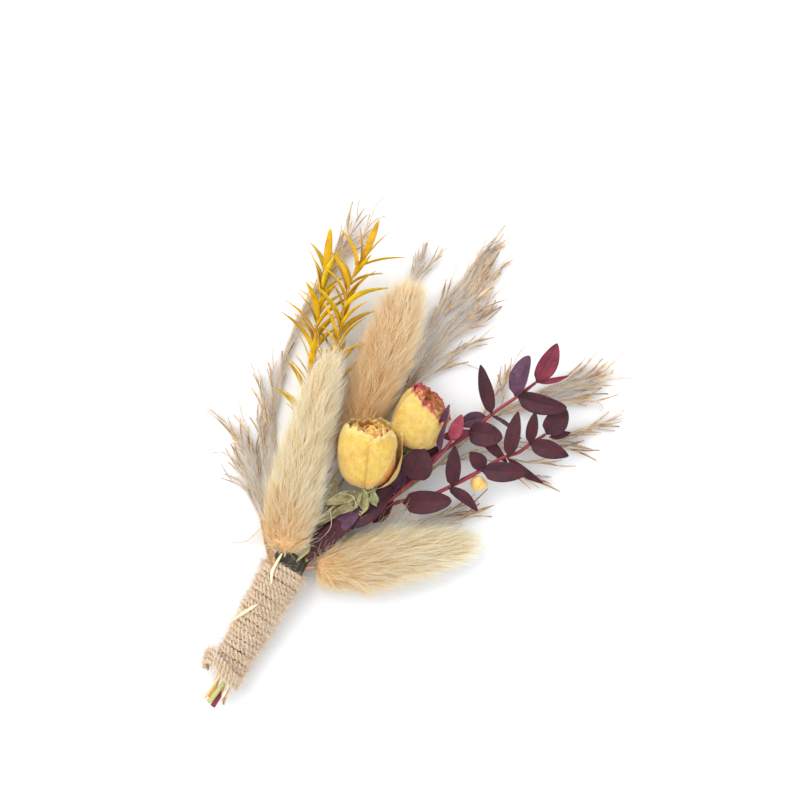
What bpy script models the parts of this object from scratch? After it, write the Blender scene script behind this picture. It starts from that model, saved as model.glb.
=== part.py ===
"""A rustic dried-flower boutonniere lying on its back.

Fifteen dried stems are bound with tape and wound with jute twine: three bunny tail grasses, two mini
roses, three sprigs of eucalyptus, two sprigs of yellow foliage and five reed plumes. The bundle runs
along Y, with the cut ends at -Y, and Z is up from the surface that it lies on. Lengths are millimetres.
"""
import math

import bmesh
import bpy
from mathutils import Matrix, Vector

for old in list(bpy.data.objects):
    bpy.data.objects.remove(old, do_unlink=True)

# ---- driving dimensions, in millimetres ----
MM = 0.001
CENTRE_X = 8.8            # the middle of the bunch, seen from the top edge of the wrap
CENTRE_Y = 37.6
WRAP_LENGTH = 33.0
WRAP_TOP_RADIUS = 6.5     # to the outside of the twine
WRAP_LOW_RADIUS = 4.8
WRAP_DRIFT = 0.5          # how far the low end of the bundle lies to +X
TWINE_DIAMETER = 1.2
TWINE_TURNS = 23
TWINE_STEPS = 10          # points in a turn
TAPE_TOP = 2.0            # how far the tape shows above the twine
TAPE_THICKNESS = 0.3
GAP = 0.3                 # between pieces that touch on the real thing
STEM_RADIUS = 0.47        # inside the wrap, where the stems are pressed together
CUT_RADIUS = 0.7          # of the thicker stems where they splay out at the cut ends
LEAF_THICKNESS = 0.45
PETAL_THICKNESS = 0.5
PLUME_LIE = 0.85          # how high the middle of a plume's lowest branches lies
PETAL_TUCK = 1.6          # how much deeper a petal's tucked edge lies than its free edge

parts = bpy.data.collections.new("Boutonniere")
bpy.context.scene.collection.children.link(parts)


def material(name, colour, roughness):
    made = bpy.data.materials.new(name)
    made.use_nodes = True
    surface = made.node_tree.nodes["Principled BSDF"]
    surface.inputs["Base Color"].default_value = (*colour, 1.0)
    surface.inputs["Roughness"].default_value = roughness
    surface.inputs["Metallic"].default_value = 0.0
    made.diffuse_color = (*colour, 1.0)
    return made


JUTE = material("jute_twine", (0.55, 0.38, 0.22), 0.95)
TAPE = material("floral_tape", (0.09, 0.08, 0.04), 0.8)
GREEN_STEM = material("green_stem", (0.38, 0.36, 0.16), 0.7)
STRAW = material("straw", (0.78, 0.68, 0.45), 0.7)
CREAM_HEAD = material("cream_bunny_tail", (0.78, 0.60, 0.36), 0.95)
TAN_HEAD = material("tan_bunny_tail", (0.55, 0.38, 0.20), 0.95)
PETAL = material("yellow_petal", (0.86, 0.60, 0.18), 0.6)
HEART = material("orange_petal", (0.80, 0.32, 0.08), 0.6)
CALYX = material("dried_calyx", (0.38, 0.40, 0.20), 0.8)
EUCALYPTUS = material("burgundy_leaf", (0.08, 0.015, 0.02), 0.45)
RED_STEM = material("red_stem", (0.25, 0.04, 0.04), 0.6)
YELLOW_LEAF = material("golden_leaf", (0.70, 0.38, 0.02), 0.55)
REED = material("reed_plume", (0.42, 0.30, 0.18), 0.9)


def at(point):
    """A point of the bunch in the object's own frame, in metres."""
    x, y, z = point
    return Vector(((x - CENTRE_X) * MM, (y - CENTRE_Y) * MM, z * MM))


def smooth(points, cuts):
    """More points along the same route, so that a bend is round."""
    route = [Vector(point) for point in points]
    found = []
    for i in range(len(route) - 1):
        before = route[max(i - 1, 0)]
        here, after = route[i], route[i + 1]
        beyond = route[min(i + 2, len(route) - 1)]
        for cut in range(cuts):
            t = cut / cuts
            bend = 2 * here + (after - before) * t
            bend += (2 * before - 5 * here + 4 * after - beyond) * t * t
            bend += (3 * here - before - 3 * after + beyond) * t * t * t
            found.append(bend / 2)
    return found + [route[-1]]


def along(values, count):
    """The values spread evenly over this many points."""
    spread = []
    for i in range(count):
        place = i / (count - 1) * (len(values) - 1)
        low = min(int(place), len(values) - 2)
        spread.append(values[low] + (values[low + 1] - values[low]) * (place - low))
    return spread


def tube(name, points, radii, finish, rounding=0):
    """A round, tapering length along the points, closed at both ends."""
    curve = bpy.data.curves.new(name, "CURVE")
    curve.dimensions = "3D"
    curve.bevel_depth = MM
    curve.bevel_resolution = rounding
    curve.use_fill_caps = True
    spline = curve.splines.new("POLY")
    spline.points.add(len(points) - 1)
    for knot, point, radius in zip(spline.points, points, along(radii, len(points))):
        knot.co = (*at(point), 1.0)
        knot.radius = radius
    curve.materials.append(finish)
    made = bpy.data.objects.new(name, curve)
    parts.objects.link(made)
    return made


def as_mesh(obj):
    """The same object with its curve turned into a closed mesh."""
    graph = bpy.context.evaluated_depsgraph_get()
    mesh = bpy.data.meshes.new_from_object(obj.evaluated_get(graph))
    shape = bmesh.new()
    shape.from_mesh(mesh)
    bmesh.ops.remove_doubles(shape, verts=shape.verts, dist=0.001 * MM)
    bmesh.ops.recalc_face_normals(shape, faces=shape.faces)
    shape.to_mesh(mesh)
    shape.free()
    name = obj.name
    finish = obj.data.materials[0]
    bpy.data.objects.remove(obj, do_unlink=True)
    made = bpy.data.objects.new(name, mesh)
    if not mesh.materials:
        mesh.materials.append(finish)
    parts.objects.link(made)
    return made


def union(name, bodies):
    """One body from several that run into each other."""
    bodies = [as_mesh(body) for body in bodies]
    whole = bodies[0]
    for body in bodies[1:]:
        join = whole.modifiers.new("Join", "BOOLEAN")
        join.operation = "UNION"
        join.solver = "EXACT"
        join.object = body
    bpy.context.view_layer.update()
    made = as_mesh(whole)
    for body in bodies[1:]:
        bpy.data.objects.remove(body, do_unlink=True)
    made.name = name
    return made


# ---- the bundle inside the twine ----
def wrap_radius(y):
    """The outside of the twine at this distance along the bundle."""
    return WRAP_TOP_RADIUS + (WRAP_TOP_RADIUS - WRAP_LOW_RADIUS) * y / WRAP_LENGTH


def bundle_point(y, radius, angle):
    """A point beside the bundle's axis. The wrap lies on the surface, so its axis is one radius up."""
    turn = math.radians(angle)
    x = -WRAP_DRIFT * y / WRAP_LENGTH + radius * math.cos(turn)
    return (x, y, wrap_radius(y) + radius * math.sin(turn))


def slot_point(ring, angle, y):
    """Where a stem of the outer or inner ring passes at this distance along the bundle."""
    room = wrap_radius(min(y, 0.0)) - TWINE_DIAMETER - 2 * GAP - TAPE_THICKNESS - STEM_RADIUS
    return bundle_point(y, room if ring == "outer" else room * 0.47, angle)


def stem_route(ring, angle, cut, beyond):
    """A stem from its cut end, straight through the wrap, then out along its own way."""
    low = Vector(slot_point(ring, angle, -WRAP_LENGTH))
    end = low + Vector((-cut - WRAP_LENGTH, 0, 0)) * 0.18
    end.y = cut
    end.z = max(low.z - 0.04 * (-cut - WRAP_LENGTH), 0.8)
    inside = [Vector(slot_point(ring, angle, y)) for y in (-WRAP_LENGTH, -16.0, TAPE_TOP + 0.4)]
    ahead = [Vector(point) for point in beyond]
    return [end] + inside + smooth([inside[-1]] + ahead, 2)[1:]


def stem_tube(name, route, far_radius, finish, cut_radius):
    """A stem that is wider at its cut end, and as thin as the rest where the twine presses it."""
    made = tube(name, route, [STEM_RADIUS, STEM_RADIUS, far_radius, far_radius], finish)
    made.data.splines[0].points[0].radius = cut_radius
    return made


def stem(name, ring, angle, cut, beyond, finish, thick=STEM_RADIUS, cut_radius=STEM_RADIUS):
    return stem_tube(name, stem_route(ring, angle, cut, beyond), thick, finish, cut_radius)


# The twine is one length of jute: 23 turns down the bundle, then a hitch over the last turns at the left
# and a short tail. Each turn keeps 0.2 mm from the next.
def twine_route():
    route = []
    lay = WRAP_TOP_RADIUS - TWINE_DIAMETER / 2
    steps = TWINE_TURNS * TWINE_STEPS
    for step in range(steps + 1):
        y = -WRAP_LENGTH * step / steps
        angle = 162 - 360 * step / TWINE_STEPS
        route.append(bundle_point(y, lay - (WRAP_TOP_RADIUS - wrap_radius(y)), angle))
    hitch = [
        (-34.3, 4.6, 150), (-34.5, 6.0, 156), (-33.0, 6.6, 158), (-30.6, 6.5, 146), (-28.6, 6.3, 128),
        (-27.9, 6.3, 112), (-28.8, 6.2, 98), (-31.0, 6.1, 88), (-33.6, 5.8, 82), (-36.0, 4.9, 78),
    ]
    return route + smooth([bundle_point(*knot) for knot in hitch], 2)


tube("twine_wrap", twine_route(), [TWINE_DIAMETER / 2, TWINE_DIAMETER / 2], JUTE, 1)


def tape_sleeve():
    """A thin sleeve of floral tape round all the stems, open at both ends."""
    low_y = -WRAP_LENGTH + 1.0
    inner_low = wrap_radius(low_y) - TWINE_DIAMETER - GAP - TAPE_THICKNESS
    inner_top = WRAP_TOP_RADIUS - TWINE_DIAMETER - GAP - TAPE_THICKNESS
    profile = [
        (inner_top + TAPE_THICKNESS, TAPE_TOP),
        (inner_top + TAPE_THICKNESS, 0.0),
        (inner_low + TAPE_THICKNESS, low_y),
        (inner_low, low_y),
        (inner_top, 0.0),
        (inner_top, TAPE_TOP),
    ]
    mesh = bpy.data.meshes.new("floral_tape")
    corners = [(radius * MM, 0.0, height * MM) for radius, height in profile]
    sides = [(i, (i + 1) % len(profile)) for i in range(len(profile))]
    mesh.from_pydata(corners, sides, [])
    mesh.materials.append(TAPE)
    sleeve = bpy.data.objects.new("floral_tape", mesh)
    parts.objects.link(sleeve)
    turn = sleeve.modifiers.new("Turn", "SCREW")
    turn.axis = "Z"
    turn.steps = 16
    turn.render_steps = 16
    turn.use_merge_vertices = True
    turn.merge_threshold = 0.00001
    drop = WRAP_TOP_RADIUS - WRAP_LOW_RADIUS
    heading = Vector((-WRAP_DRIFT, WRAP_LENGTH, drop))
    sleeve.rotation_mode = "QUATERNION"
    sleeve.rotation_quaternion = heading.to_track_quat("Z", "Y")
    sleeve.location = at((0.0, 0.0, WRAP_TOP_RADIUS))
    return sleeve


tape_sleeve()

# Two slivers of straw lie on the twine.
HIGH_STRAW = [(-2.7, 3.2, 13.5), bundle_point(-2.3, 7.05, 111), bundle_point(-5.7, 6.9, 98)]
LOW_STRAW = [bundle_point(-20.3, 6.05, 158), bundle_point(-15.9, 6.3, 121), bundle_point(-12.7, 6.5, 103)]
tube("straw_sliver_high", smooth(HIGH_STRAW, 3), [0.2, 0.3, 0.2], STRAW)
tube("straw_sliver_low", smooth(LOW_STRAW, 3), [0.2, 0.3, 0.2], STRAW)

# ---- bunny tail grasses: a thin stem and a soft oval head ----
stem("bunny_tail_left_stem", "outer", 108, -43.4, [(-2.6, 4.3, 11.2)], STRAW)
LEFT_HEAD = [
    (-2.75, 4.75, 11.4), (-5.6, 12, 13.2), (-8.2, 20, 14.6), (-11.8, 31, 15.2), (-15.5, 44, 15.6),
    (-18.2, 55.0, 15.8), (-19.2, 60, 15.8),
]
tube("bunny_tail_left_head", smooth(LEFT_HEAD, 2), [0.6, 4.4, 6.4, 6.6, 5.6, 3.5, 1.2], CREAM_HEAD, 3)

stem("bunny_tail_back_stem", "inner", 198, -35.5, [
    (-1.8, 12, 4.6), (-1.9, 30, 4.2), (-2.5, 40, 4.4), (-3.0, 47.6, 7.15),
], STRAW)
BACK_HEAD = [
    (-3.0, 48, 7.4), (-4.2, 54, 8.8), (-5.4, 60, 9.8), (-6.9, 69, 10.2), (-8.6, 77, 10.2), (-9.8, 84, 10.2),
    (-10.3, 89, 10.2),
]
tube("bunny_tail_back_head", smooth(BACK_HEAD, 2), [0.7, 3.8, 5.8, 6.7, 6.2, 4.2, 1.2], TAN_HEAD, 3)

stem("bunny_tail_right_stem", "outer", 0, -36.5, [(7.1, 4.9, 6.7)], STRAW)
RIGHT_HEAD = [
    (7.5, 5.2, 6.7), (12.0, 8.6, 6.6), (17.5, 12.4, 6.4), (24.0, 18.0, 6.4), (32.0, 24.6, 6.2),
    (39.0, 30.4, 6.0), (43.4, 34.0, 5.8),
]
tube("bunny_tail_right_head", smooth(RIGHT_HEAD, 2), [0.6, 4.6, 6.5, 6.6, 5.6, 3.6, 1.2], CREAM_HEAD, 3)

# ---- mini roses ----
# The outline of a closed rose, as (share of its height, share of its widest radius).
ROSE_OUTLINE = [(0.0, 0.30), (0.12, 0.62), (0.3, 0.9), (0.5, 1.0), (0.7, 0.98), (0.86, 0.88), (1.0, 0.74)]


def outline(height):
    """The rose's radius at this share of its height."""
    for (low, narrow), (high, wide) in zip(ROSE_OUTLINE, ROSE_OUTLINE[1:]):
        if height <= high:
            return narrow + (wide - narrow) * (height - low) / (high - low)
    return ROSE_OUTLINE[-1][1]


def surface(name, shape_of, across, up, thickness, finish, frame):
    """A grid bent by shape_of(u, v), with u from -1 to 1 and v from 0 to 1, and made solid."""
    sheet = bmesh.new()
    bmesh.ops.create_grid(sheet, x_segments=across, y_segments=up, size=1.0)
    for corner in sheet.verts:
        corner.co = at(frame @ Vector(shape_of(corner.co.x, (corner.co.y + 1) / 2)))
    mesh = bpy.data.meshes.new(name)
    sheet.to_mesh(mesh)
    sheet.free()
    mesh.materials.append(finish)
    made = bpy.data.objects.new(name, mesh)
    parts.objects.link(made)
    thicken = made.modifiers.new("Thickness", "SOLIDIFY")
    thicken.thickness = thickness * MM
    thicken.offset = 0.0
    return made


def petal(name, frame, height, radius, facing, span, finish, low, top, inset):
    """A petal of the cup: one side edge lies outside its neighbour and the other is tucked under."""
    def shape_of(u, v):
        angle = math.radians(facing + u * span / 2)
        rise = low + v * (top - 0.08 * u * u - low)
        reach = outline(rise) * radius - inset - PETAL_TUCK * (u + 1) / 2
        return (reach * math.cos(angle), reach * math.sin(angle), rise * height)
    return surface(name, shape_of, 6, 5, PETAL_THICKNESS, finish, frame)


def rose(name, base, tip, radius, turn, flare):
    """A mini rose from the base of its cup to its opening. flare is how far the dry sepals stand out."""
    base, tip = Vector(base), Vector(tip)
    axis = tip - base
    height = axis.length
    frame = Matrix.Translation(base) @ axis.to_track_quat("Z", "Y").to_matrix().to_4x4()
    for i in range(4):
        top = (1.0, 0.95, 0.98, 0.93)[i]
        facing = turn + i * 90
        petal(f"{name}_outer_petal_{i + 1}", frame, height, radius, facing, 122, PETAL, 0.02, top, 0.0)
    for i in range(2):
        facing = turn + 40 + i * 180
        petal(f"{name}_inner_petal_{i + 1}", frame, height, radius, facing, 220, HEART, 0.16, 0.97, 2.4)
    steps = [0.2, 0.26, 0.36, 0.5, 0.7, 0.84, 0.9]
    core = [frame @ Vector((0, 0, step * height)) for step in steps]
    girth = [max(outline(step) * radius - 4.9, 0.5) for step in steps]
    girth[0] = 0.5
    girth[-1] = 1.4
    tube(f"{name}_heart", core, girth, HEART, 3)
    cup = [frame @ Vector((0, 0, z)) for z in (-3.2, -2.4, -1.4, -0.5, 0.05)]
    bodies = [tube(f"{name}_calyx", cup, [0.9, 1.7, 2.3, 2.4, 1.6], CALYX, 2)]
    for i in range(5):
        angle = math.radians(turn + 20 + i * 72)
        side = Vector((math.cos(angle), math.sin(angle), 0))
        bend = [(1.3, -1.4), (2.2 + flare, -1.7), (2.4 + 2.2 * flare, -3.4), (2.3 + 2.4 * flare, -5.6)]
        sepal = [frame @ (side * reach + Vector((0, 0, drop))) for reach, drop in bend]
        bodies.append(tube(f"{name}_sepal", smooth(sepal, 2), [0.45, 0.75, 0.5, 0.2], CALYX))
    union(f"{name}_calyx", bodies)


rose("rose_front", (8.6, 32.3, 11.7), (0.1, 47.8, 19.5), 9.4, 250, 0.6)
rose("rose_back", (12.2, 48.8, 7.8), (10.2, 65.8, 12.4), 7.9, 300, 0.1)
stem("rose_front_stem", "outer", 72, -38.0, [
    (4.0, 10, 10.6), (7.4, 19, 10.3), (9.4, 25, 9.9), (10.2, 28.6, 9.9),
], GREEN_STEM, 0.7)
stem("rose_back_stem", "outer", 36, -44.0, [
    (5.4, 10, 6.7), (8.8, 22, 5.8), (11.4, 36, 4.7), (12.6, 45.2, 6.5),
], GREEN_STEM, 0.6, CUT_RADIUS)


# ---- eucalyptus: three red stems with separate leaves ----
def leaf(name, base, tip, width, face=(0, 0, 1), arch=0.6, cup=0.5, finish=EUCALYPTUS):
    """An oval leaf from base to tip. face is the side it turns up, arch its bow and cup its fold."""
    base, tip = Vector(base), Vector(tip)
    length = (tip - base).length
    ahead = (tip - base).normalized()
    across = ahead.cross(Vector(face)).normalized()
    up = across.cross(ahead)
    frame = Matrix((across, ahead, up)).transposed().to_4x4()
    frame.translation = base

    def shape_of(u, v):
        half = width / 2 * max(math.sin(math.pi * v ** 0.85) ** 0.75 if 0 < v < 1 else 0.0, 0.1)
        lift = arch * math.sin(math.pi * v) + cup * u * u * half / (width / 2)
        return (u * half, v * length, lift)
    return surface(name, shape_of, 2, 5, LEAF_THICKNESS, finish, frame)


stem("eucalyptus_high_stem", "inner", -18, -37.0, [
    (3.4, 8, 4.6), (6.3, 19.8, 3.8), (12.4, 32.7, 4.6), (20.0, 48.9, 7.4), (24.9, 58.9, 8.8),
    (28.4, 68.4, 9.6), (31.9, 76.1, 10.2), (34.8, 83.0, 11.0),
], RED_STEM)
stem("eucalyptus_low_stem", "outer", -36, -44.6, [
    (4.6, 6, 4.6), (7.2, 14.1, 5.0), (13.5, 25.8, 5.4), (17.0, 31.9, 6.4), (25.0, 39.4, 8.0),
    (28.2, 43.6, 8.6), (33.9, 52.8, 9.3), (37.1, 58.7, 9.6), (40.7, 62.9, 10.0), (42.3, 66.5, 10.3),
    (44.8, 71.4, 10.8),
], RED_STEM, STEM_RADIUS, CUT_RADIUS)
stem("eucalyptus_mid_stem", "inner", 54, -36.0, [
    (4.2, 10, 8.4), (9.4, 22, 8.0), (14.5, 29.6, 8.0), (17.2, 36.2, 8.8), (20.1, 44.9, 10.2),
    (22.0, 52.0, 12.0), (22.3, 56.0, 12.9),
], RED_STEM)

leaf("eucalyptus_high_leaf_1", (34.8, 84.0, 11.3), (34.3, 95.8, 12.6), 5.2)
leaf("eucalyptus_high_leaf_2", (31.5, 77.4, 10.9), (29.3, 88.4, 13.5), 5.5, (-0.3, 0, 1))
leaf("eucalyptus_high_leaf_3", (33.1, 77.0, 10.8), (46.1, 80.6, 15.0), 5.5, (0, -0.2, 1))
leaf("eucalyptus_high_leaf_4", (27.8, 69.2, 10.4), (18.6, 79.1, 13.0), 4.2)
leaf("eucalyptus_high_leaf_5", (29.4, 68.2, 9.2), (39.4, 67.2, 7.0), 3.6, (0, 1, 0.3))
leaf("eucalyptus_high_leaf_6", (26.9, 66.8, 8.0), (21.6, 61.4, 6.0), 4.6)
leaf("eucalyptus_high_leaf_7", (26.0, 61.0, 10.3), (34.6, 64.0, 12.4), 7.0)
leaf("eucalyptus_low_leaf_1", (45.1, 72.4, 11.2), (45.9, 80.8, 11.6), 6.2)
leaf("eucalyptus_low_leaf_2", (43.2, 66.8, 10.9), (53.6, 69.1, 12.4), 5.0)
leaf("eucalyptus_low_leaf_3", (41.8, 67.6, 11.0), (38.8, 75.2, 13.2), 3.0)
leaf("eucalyptus_low_leaf_4", (38.6, 61.0, 10.8), (34.6, 72.7, 13.5), 4.0)
leaf("eucalyptus_low_leaf_5", (35.2, 53.4, 10.0), (45.8, 59.5, 12.0), 5.5)
leaf("eucalyptus_low_leaf_6", (20.2, 34.0, 8.3), (31.2, 41.0, 12.0), 6.2)
leaf("eucalyptus_low_leaf_7", (29.4, 43.7, 9.3), (39.1, 42.3, 9.2), 3.0)
leaf("eucalyptus_low_leaf_8", (14.9, 25.2, 7.0), (14.6, 34.6, 7.2), 5.4, (0, 0, 1), 0.1, 0.1)
leaf("eucalyptus_low_leaf_9", (28.9, 45.4, 9.6), (23.9, 54.9, 12.6), 4.0)
leaf("eucalyptus_low_leaf_10", (33.8, 54.2, 10.2), (28.6, 55.6, 12.4), 4.2)
leaf("eucalyptus_mid_leaf_1", (18.2, 41.2, 11.3), (16.8, 49.6, 13.0), 8.4)
leaf("eucalyptus_mid_leaf_2", (20.9, 52.0, 12.9), (16.9, 63.9, 17.6), 3.0)
leaf("eucalyptus_mid_leaf_3", (22.2, 56.7, 13.3), (21.2, 63.4, 15.6), 3.0)
BUD = [(33.2, 48.8, 8.6), (34.4, 49.2, 8.4), (36.2, 49.8, 8.2), (37.8, 50.4, 8.0)]
tube("small_dried_bud", smooth(BUD, 2), [0.5, 2.0, 2.2, 1.0], PETAL, 3)


# ---- yellow foliage: narrow leaves spiral up each stem, which they grow from as one ----
def yellow_sprig(name, ring, angle, cut, beyond, first, count, length):
    """Leaves spiral along the route from its point number first to its end, and one stands at the tip."""
    bodies = [stem_tube(name, stem_route(ring, angle, cut, beyond), 0.35, YELLOW_LEAF, CUT_RADIUS)]
    leafy = smooth([Vector(point) for point in beyond[first:]], 8)
    for i in range(count):
        place = i / (count - 1) * (len(leafy) - 2)
        here = leafy[int(place)]
        ahead = (leafy[int(place) + 1] - here).normalized()
        side = ahead.cross(Vector((0, 0, 1))).normalized()
        up = side.cross(ahead)
        turn = math.radians(137.5 * i)
        out = side * math.cos(turn) + up * (0.35 * math.sin(turn) + 0.15)
        reach = length * (1.05 - 0.35 * i / count)
        blade = [here + ahead * reach * run + out * reach * rise
                 for run, rise in ((0.0, 0.0), (0.3, 0.2), (0.62, 0.42), (0.86, 0.66))]
        bodies.append(tube("blade", blade, [0.35, 0.62, 0.58, 0.15], YELLOW_LEAF))
    tip = [leafy[-1] - ahead * 1.0, leafy[-1] + ahead * length * 0.45, leafy[-1] + ahead * length * 0.9]
    bodies.append(tube("blade", tip, [0.45, 0.6, 0.15], YELLOW_LEAF))
    union(name, bodies)


yellow_sprig("yellow_sprig_left", "outer", 144, -42.5, [
    (-8.0, 8, 7.4), (-13.0, 20, 6.4), (-17.0, 36.3, 5.8), (-23.2, 51.2, 6.4), (-26.8, 60.0, 6.8),
    (-31.0, 70.5, 7.2), (-34.5, 79.4, 7.6),
], 3, 16, 9.0)
yellow_sprig("yellow_sprig_right", "inner", 126, -35.0, [
    (-4.0, 10, 6.0), (-8.0, 25, 5.2), (-11.0, 38, 5.0), (-14.6, 48.3, 6.2), (-19.7, 62.4, 9.0),
    (-23.8, 72.3, 11.4), (-26.6, 81.4, 12.2), (-28.1, 87.4, 12.6),
], 4, 16, 10.0)


# ---- reed plumes: side branches of small spikelets along a stem, all grown as one ----
def plume(name, ring, angle, cut, beyond, first, branches, length, spread, arms=()):
    """Branches alternate along the route from its point number first; arms are extra lone branches."""
    route = stem_route(ring, angle, cut, beyond)
    bodies = [tube(name, route, [STEM_RADIUS, STEM_RADIUS, STEM_RADIUS, 0.35], REED)]
    fluffy = smooth([Vector(point) for point in beyond[first:]], 8)
    for i in range(branches):
        place = i / (branches - 1) * (len(fluffy) - 2)
        here = fluffy[int(place)]
        ahead = (fluffy[int(place) + 1] - here).normalized()
        side = ahead.cross(Vector((0, 0, 1))).normalized() * (1 if i % 2 else -1)
        lean = math.radians(spread * (1.0 - 0.3 * i / branches))
        heading = ahead * math.cos(lean) + side * math.sin(lean)
        reach = length * (1.1 - 0.45 * i / branches)
        twig = [here - heading * 0.2, here + heading * reach * 0.35, here + heading * reach * 0.7,
                here + heading * reach]
        for knot, height in zip(twig, (0.0, 0.3, 0.1, -0.2)):
            knot.z = max(here.z + height * (1 if i % 3 else 3), PLUME_LIE)
        bodies.append(tube("twig", twig, [0.4, 0.95, 0.8, 0.2], REED))
    for arm in arms:
        bodies.append(tube("arm", smooth(arm, 2), [0.4, 0.6, 0.9, 0.2], REED))
    tip = [fluffy[-1] - ahead * 1.0, fluffy[-1] + ahead * length * 0.3, fluffy[-1] + ahead * length * 0.6]
    bodies.append(tube("tip", tip, [0.45, 0.8, 0.2], REED))
    union(name, bodies)


plume("reed_plume_left", "outer", 180, -34.5, [
    (-8.5, 7, 4.6), (-14.0, 12, 2.8), (-23.6, 19.4, 1.3), (-31.7, 24.2, 0.9), (-36.0, 26.0, 0.9),
], 1, 9, 12.0, 38)
plume("reed_plume_far_left", "outer", 216, -42.2, [
    (-8.0, 10, 2.3), (-16.0, 22, 1.2), (-25.0, 34, 1.0), (-31.5, 47, 0.9), (-34.6, 62, 0.9),
    (-35.6, 83, 1.0), (-38.0, 98, 1.8),
], 2, 12, 12.0, 22)
plume("reed_plume_top", "inner", 270, -34.5, [
    (-2.6, 16, 2.4), (-5.2, 40, 1.3), (-8.0, 68, 1.1), (-10.6, 88, 1.5), (-11.6, 100, 2.2),
], 3, 6, 9.0, 24)
plume("reed_plume_high", "outer", 252, -35.5, [
    (-0.4, 14, 2.0), (1.0, 36, 1.2), (2.6, 61, 1.0), (4.2, 82, 0.9), (6.0, 100, 1.4), (5.2, 112, 2.6),
], 2, 11, 13.0, 24)
plume("reed_plume_right", "outer", 288, -36.0, [
    (5.6, 12, 2.0), (13.4, 28, 1.3), (21.3, 45.6, 1.0), (29.6, 70, 0.9), (40.0, 84, 1.0), (50.0, 99, 1.8),
], 3, 10, 11.0, 24, [
    [(23.2, 52.0, 1.0), (34.0, 60.0, 0.9), (48.0, 74.5, 1.0), (61.6, 87.0, 1.4)],
])
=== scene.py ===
# %% [markdown]
# # A dried-flower boutonniere
# Fifteen dried stems are bound with floral tape and wound with jute twine, and the small bunch lies on
# its back on a pale table. This notebook dresses the measured frame of that bunch: every piece is built
# where the frame has it, then takes over from the plain solid that stood there. The frame is loaded
# first, and nothing else is read.
# %% Load the frame
import math

import bmesh
import bpy
import numpy as np
from mathutils import Matrix, Vector, noise


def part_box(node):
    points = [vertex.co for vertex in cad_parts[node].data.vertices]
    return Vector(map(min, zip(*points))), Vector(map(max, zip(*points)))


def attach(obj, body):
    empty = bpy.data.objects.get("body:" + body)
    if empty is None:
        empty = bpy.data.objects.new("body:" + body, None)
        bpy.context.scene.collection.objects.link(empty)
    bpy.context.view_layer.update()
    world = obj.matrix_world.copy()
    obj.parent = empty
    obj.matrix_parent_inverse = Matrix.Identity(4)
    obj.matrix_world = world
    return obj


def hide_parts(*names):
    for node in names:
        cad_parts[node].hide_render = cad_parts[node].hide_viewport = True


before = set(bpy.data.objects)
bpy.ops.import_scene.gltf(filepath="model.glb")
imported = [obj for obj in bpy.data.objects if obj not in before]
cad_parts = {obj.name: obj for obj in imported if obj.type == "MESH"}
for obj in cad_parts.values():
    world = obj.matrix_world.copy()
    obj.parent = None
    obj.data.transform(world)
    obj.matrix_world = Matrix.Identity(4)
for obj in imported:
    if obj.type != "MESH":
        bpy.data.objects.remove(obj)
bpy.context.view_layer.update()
print("nodes in the frame:", len(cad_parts))

# %% [markdown]
# ## Where things are
# The bunch is described from the middle of the wrap's top edge: X to one side, Y along the stems towards
# the flowers, Z up from the table, all in millimetres. Blender works in metres with the box centred, so
# one small function turns a place in the bunch into a place in the frame.
# %% Units and places
MM = 0.001
CENTRE = Vector((8.8, 37.6, 0.0))     # the middle of the bunch's box, from the top edge of the wrap
RIDES_ON = "root"                     # nothing moves, so there is one body


def at(point):
    """A place in the bunch, in millimetres, as a place in the frame, in metres."""
    return (Vector(point) - CENTRE) * MM


def smooth(points, cuts):
    """More points along the same route, so that every bend is round."""
    route = [Vector(point) for point in points]
    found = []
    for i in range(len(route) - 1):
        before = route[max(i - 1, 0)]
        here, after = route[i], route[i + 1]
        beyond = route[min(i + 2, len(route) - 1)]
        for cut in range(cuts):
            t = cut / cuts
            bend = 2 * here + (after - before) * t
            bend += (2 * before - 5 * here + 4 * after - beyond) * t * t
            bend += (3 * here - before - 3 * after + beyond) * t * t * t
            found.append(bend / 2)
    return found + [route[-1]]


def along(values, share):
    """The value at a share of the way through an evenly spaced list."""
    place = min(max(share, 0.0), 1.0) * (len(values) - 1)
    low = min(int(place), len(values) - 2)
    return values[low] + (values[low + 1] - values[low]) * (place - low)


def put_in_scene(name, data):
    """A new object that holds this data."""
    made = bpy.data.objects.new(name, data)
    bpy.context.scene.collection.objects.link(made)
    return made


def discard(*guides):
    """Removes objects that only helped to make others."""
    for guide in guides:
        bpy.data.objects.remove(guide, do_unlink=True)


low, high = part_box("twine_wrap")
print("the wrap is", [round(side / MM, 1) for side in high - low], "mm")

# %% [markdown]
# ## Camera, table and light
# The bunch lies flat and is seen from almost straight above, turned so that the stems point to the lower
# left. A long lens keeps the shapes true. The light is one large soft panel at the upper left and a
# bright, even room, so the shadows are short and faint. Everything here is staging and isn't part of the
# bunch.
# %% Camera
LENS = 80.0
SENSOR = 36.0
FRAME_WIDTH = 0.232                   # how much of the table the view takes in, in metres
TILT = math.radians(83)               # above the horizon
RIGHT = Vector((0.860, 0.511, 0.0)).normalized()
AIM = Vector((-0.0053, 0.0210, 0.010))

toward_top = Vector((-RIGHT.y, RIGHT.x, 0.0))
back = -toward_top * math.cos(TILT) + Vector((0, 0, math.sin(TILT)))
camera_data = bpy.data.cameras.new("Camera")
camera_data.lens = LENS
camera_data.sensor_width = SENSOR
camera = put_in_scene("Camera", camera_data)
turned = Matrix((RIGHT, back.cross(RIGHT), back)).transposed().to_4x4()
turned.translation = AIM + back * (FRAME_WIDTH * LENS / SENSOR)
camera.matrix_world = turned
bpy.context.scene.camera = camera
print("camera height:", round(turned.translation.z, 3), "m")

# %% Table and lights
bpy.context.scene.view_settings.view_transform = "Standard"
TABLE_SIZE = 4.0

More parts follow.
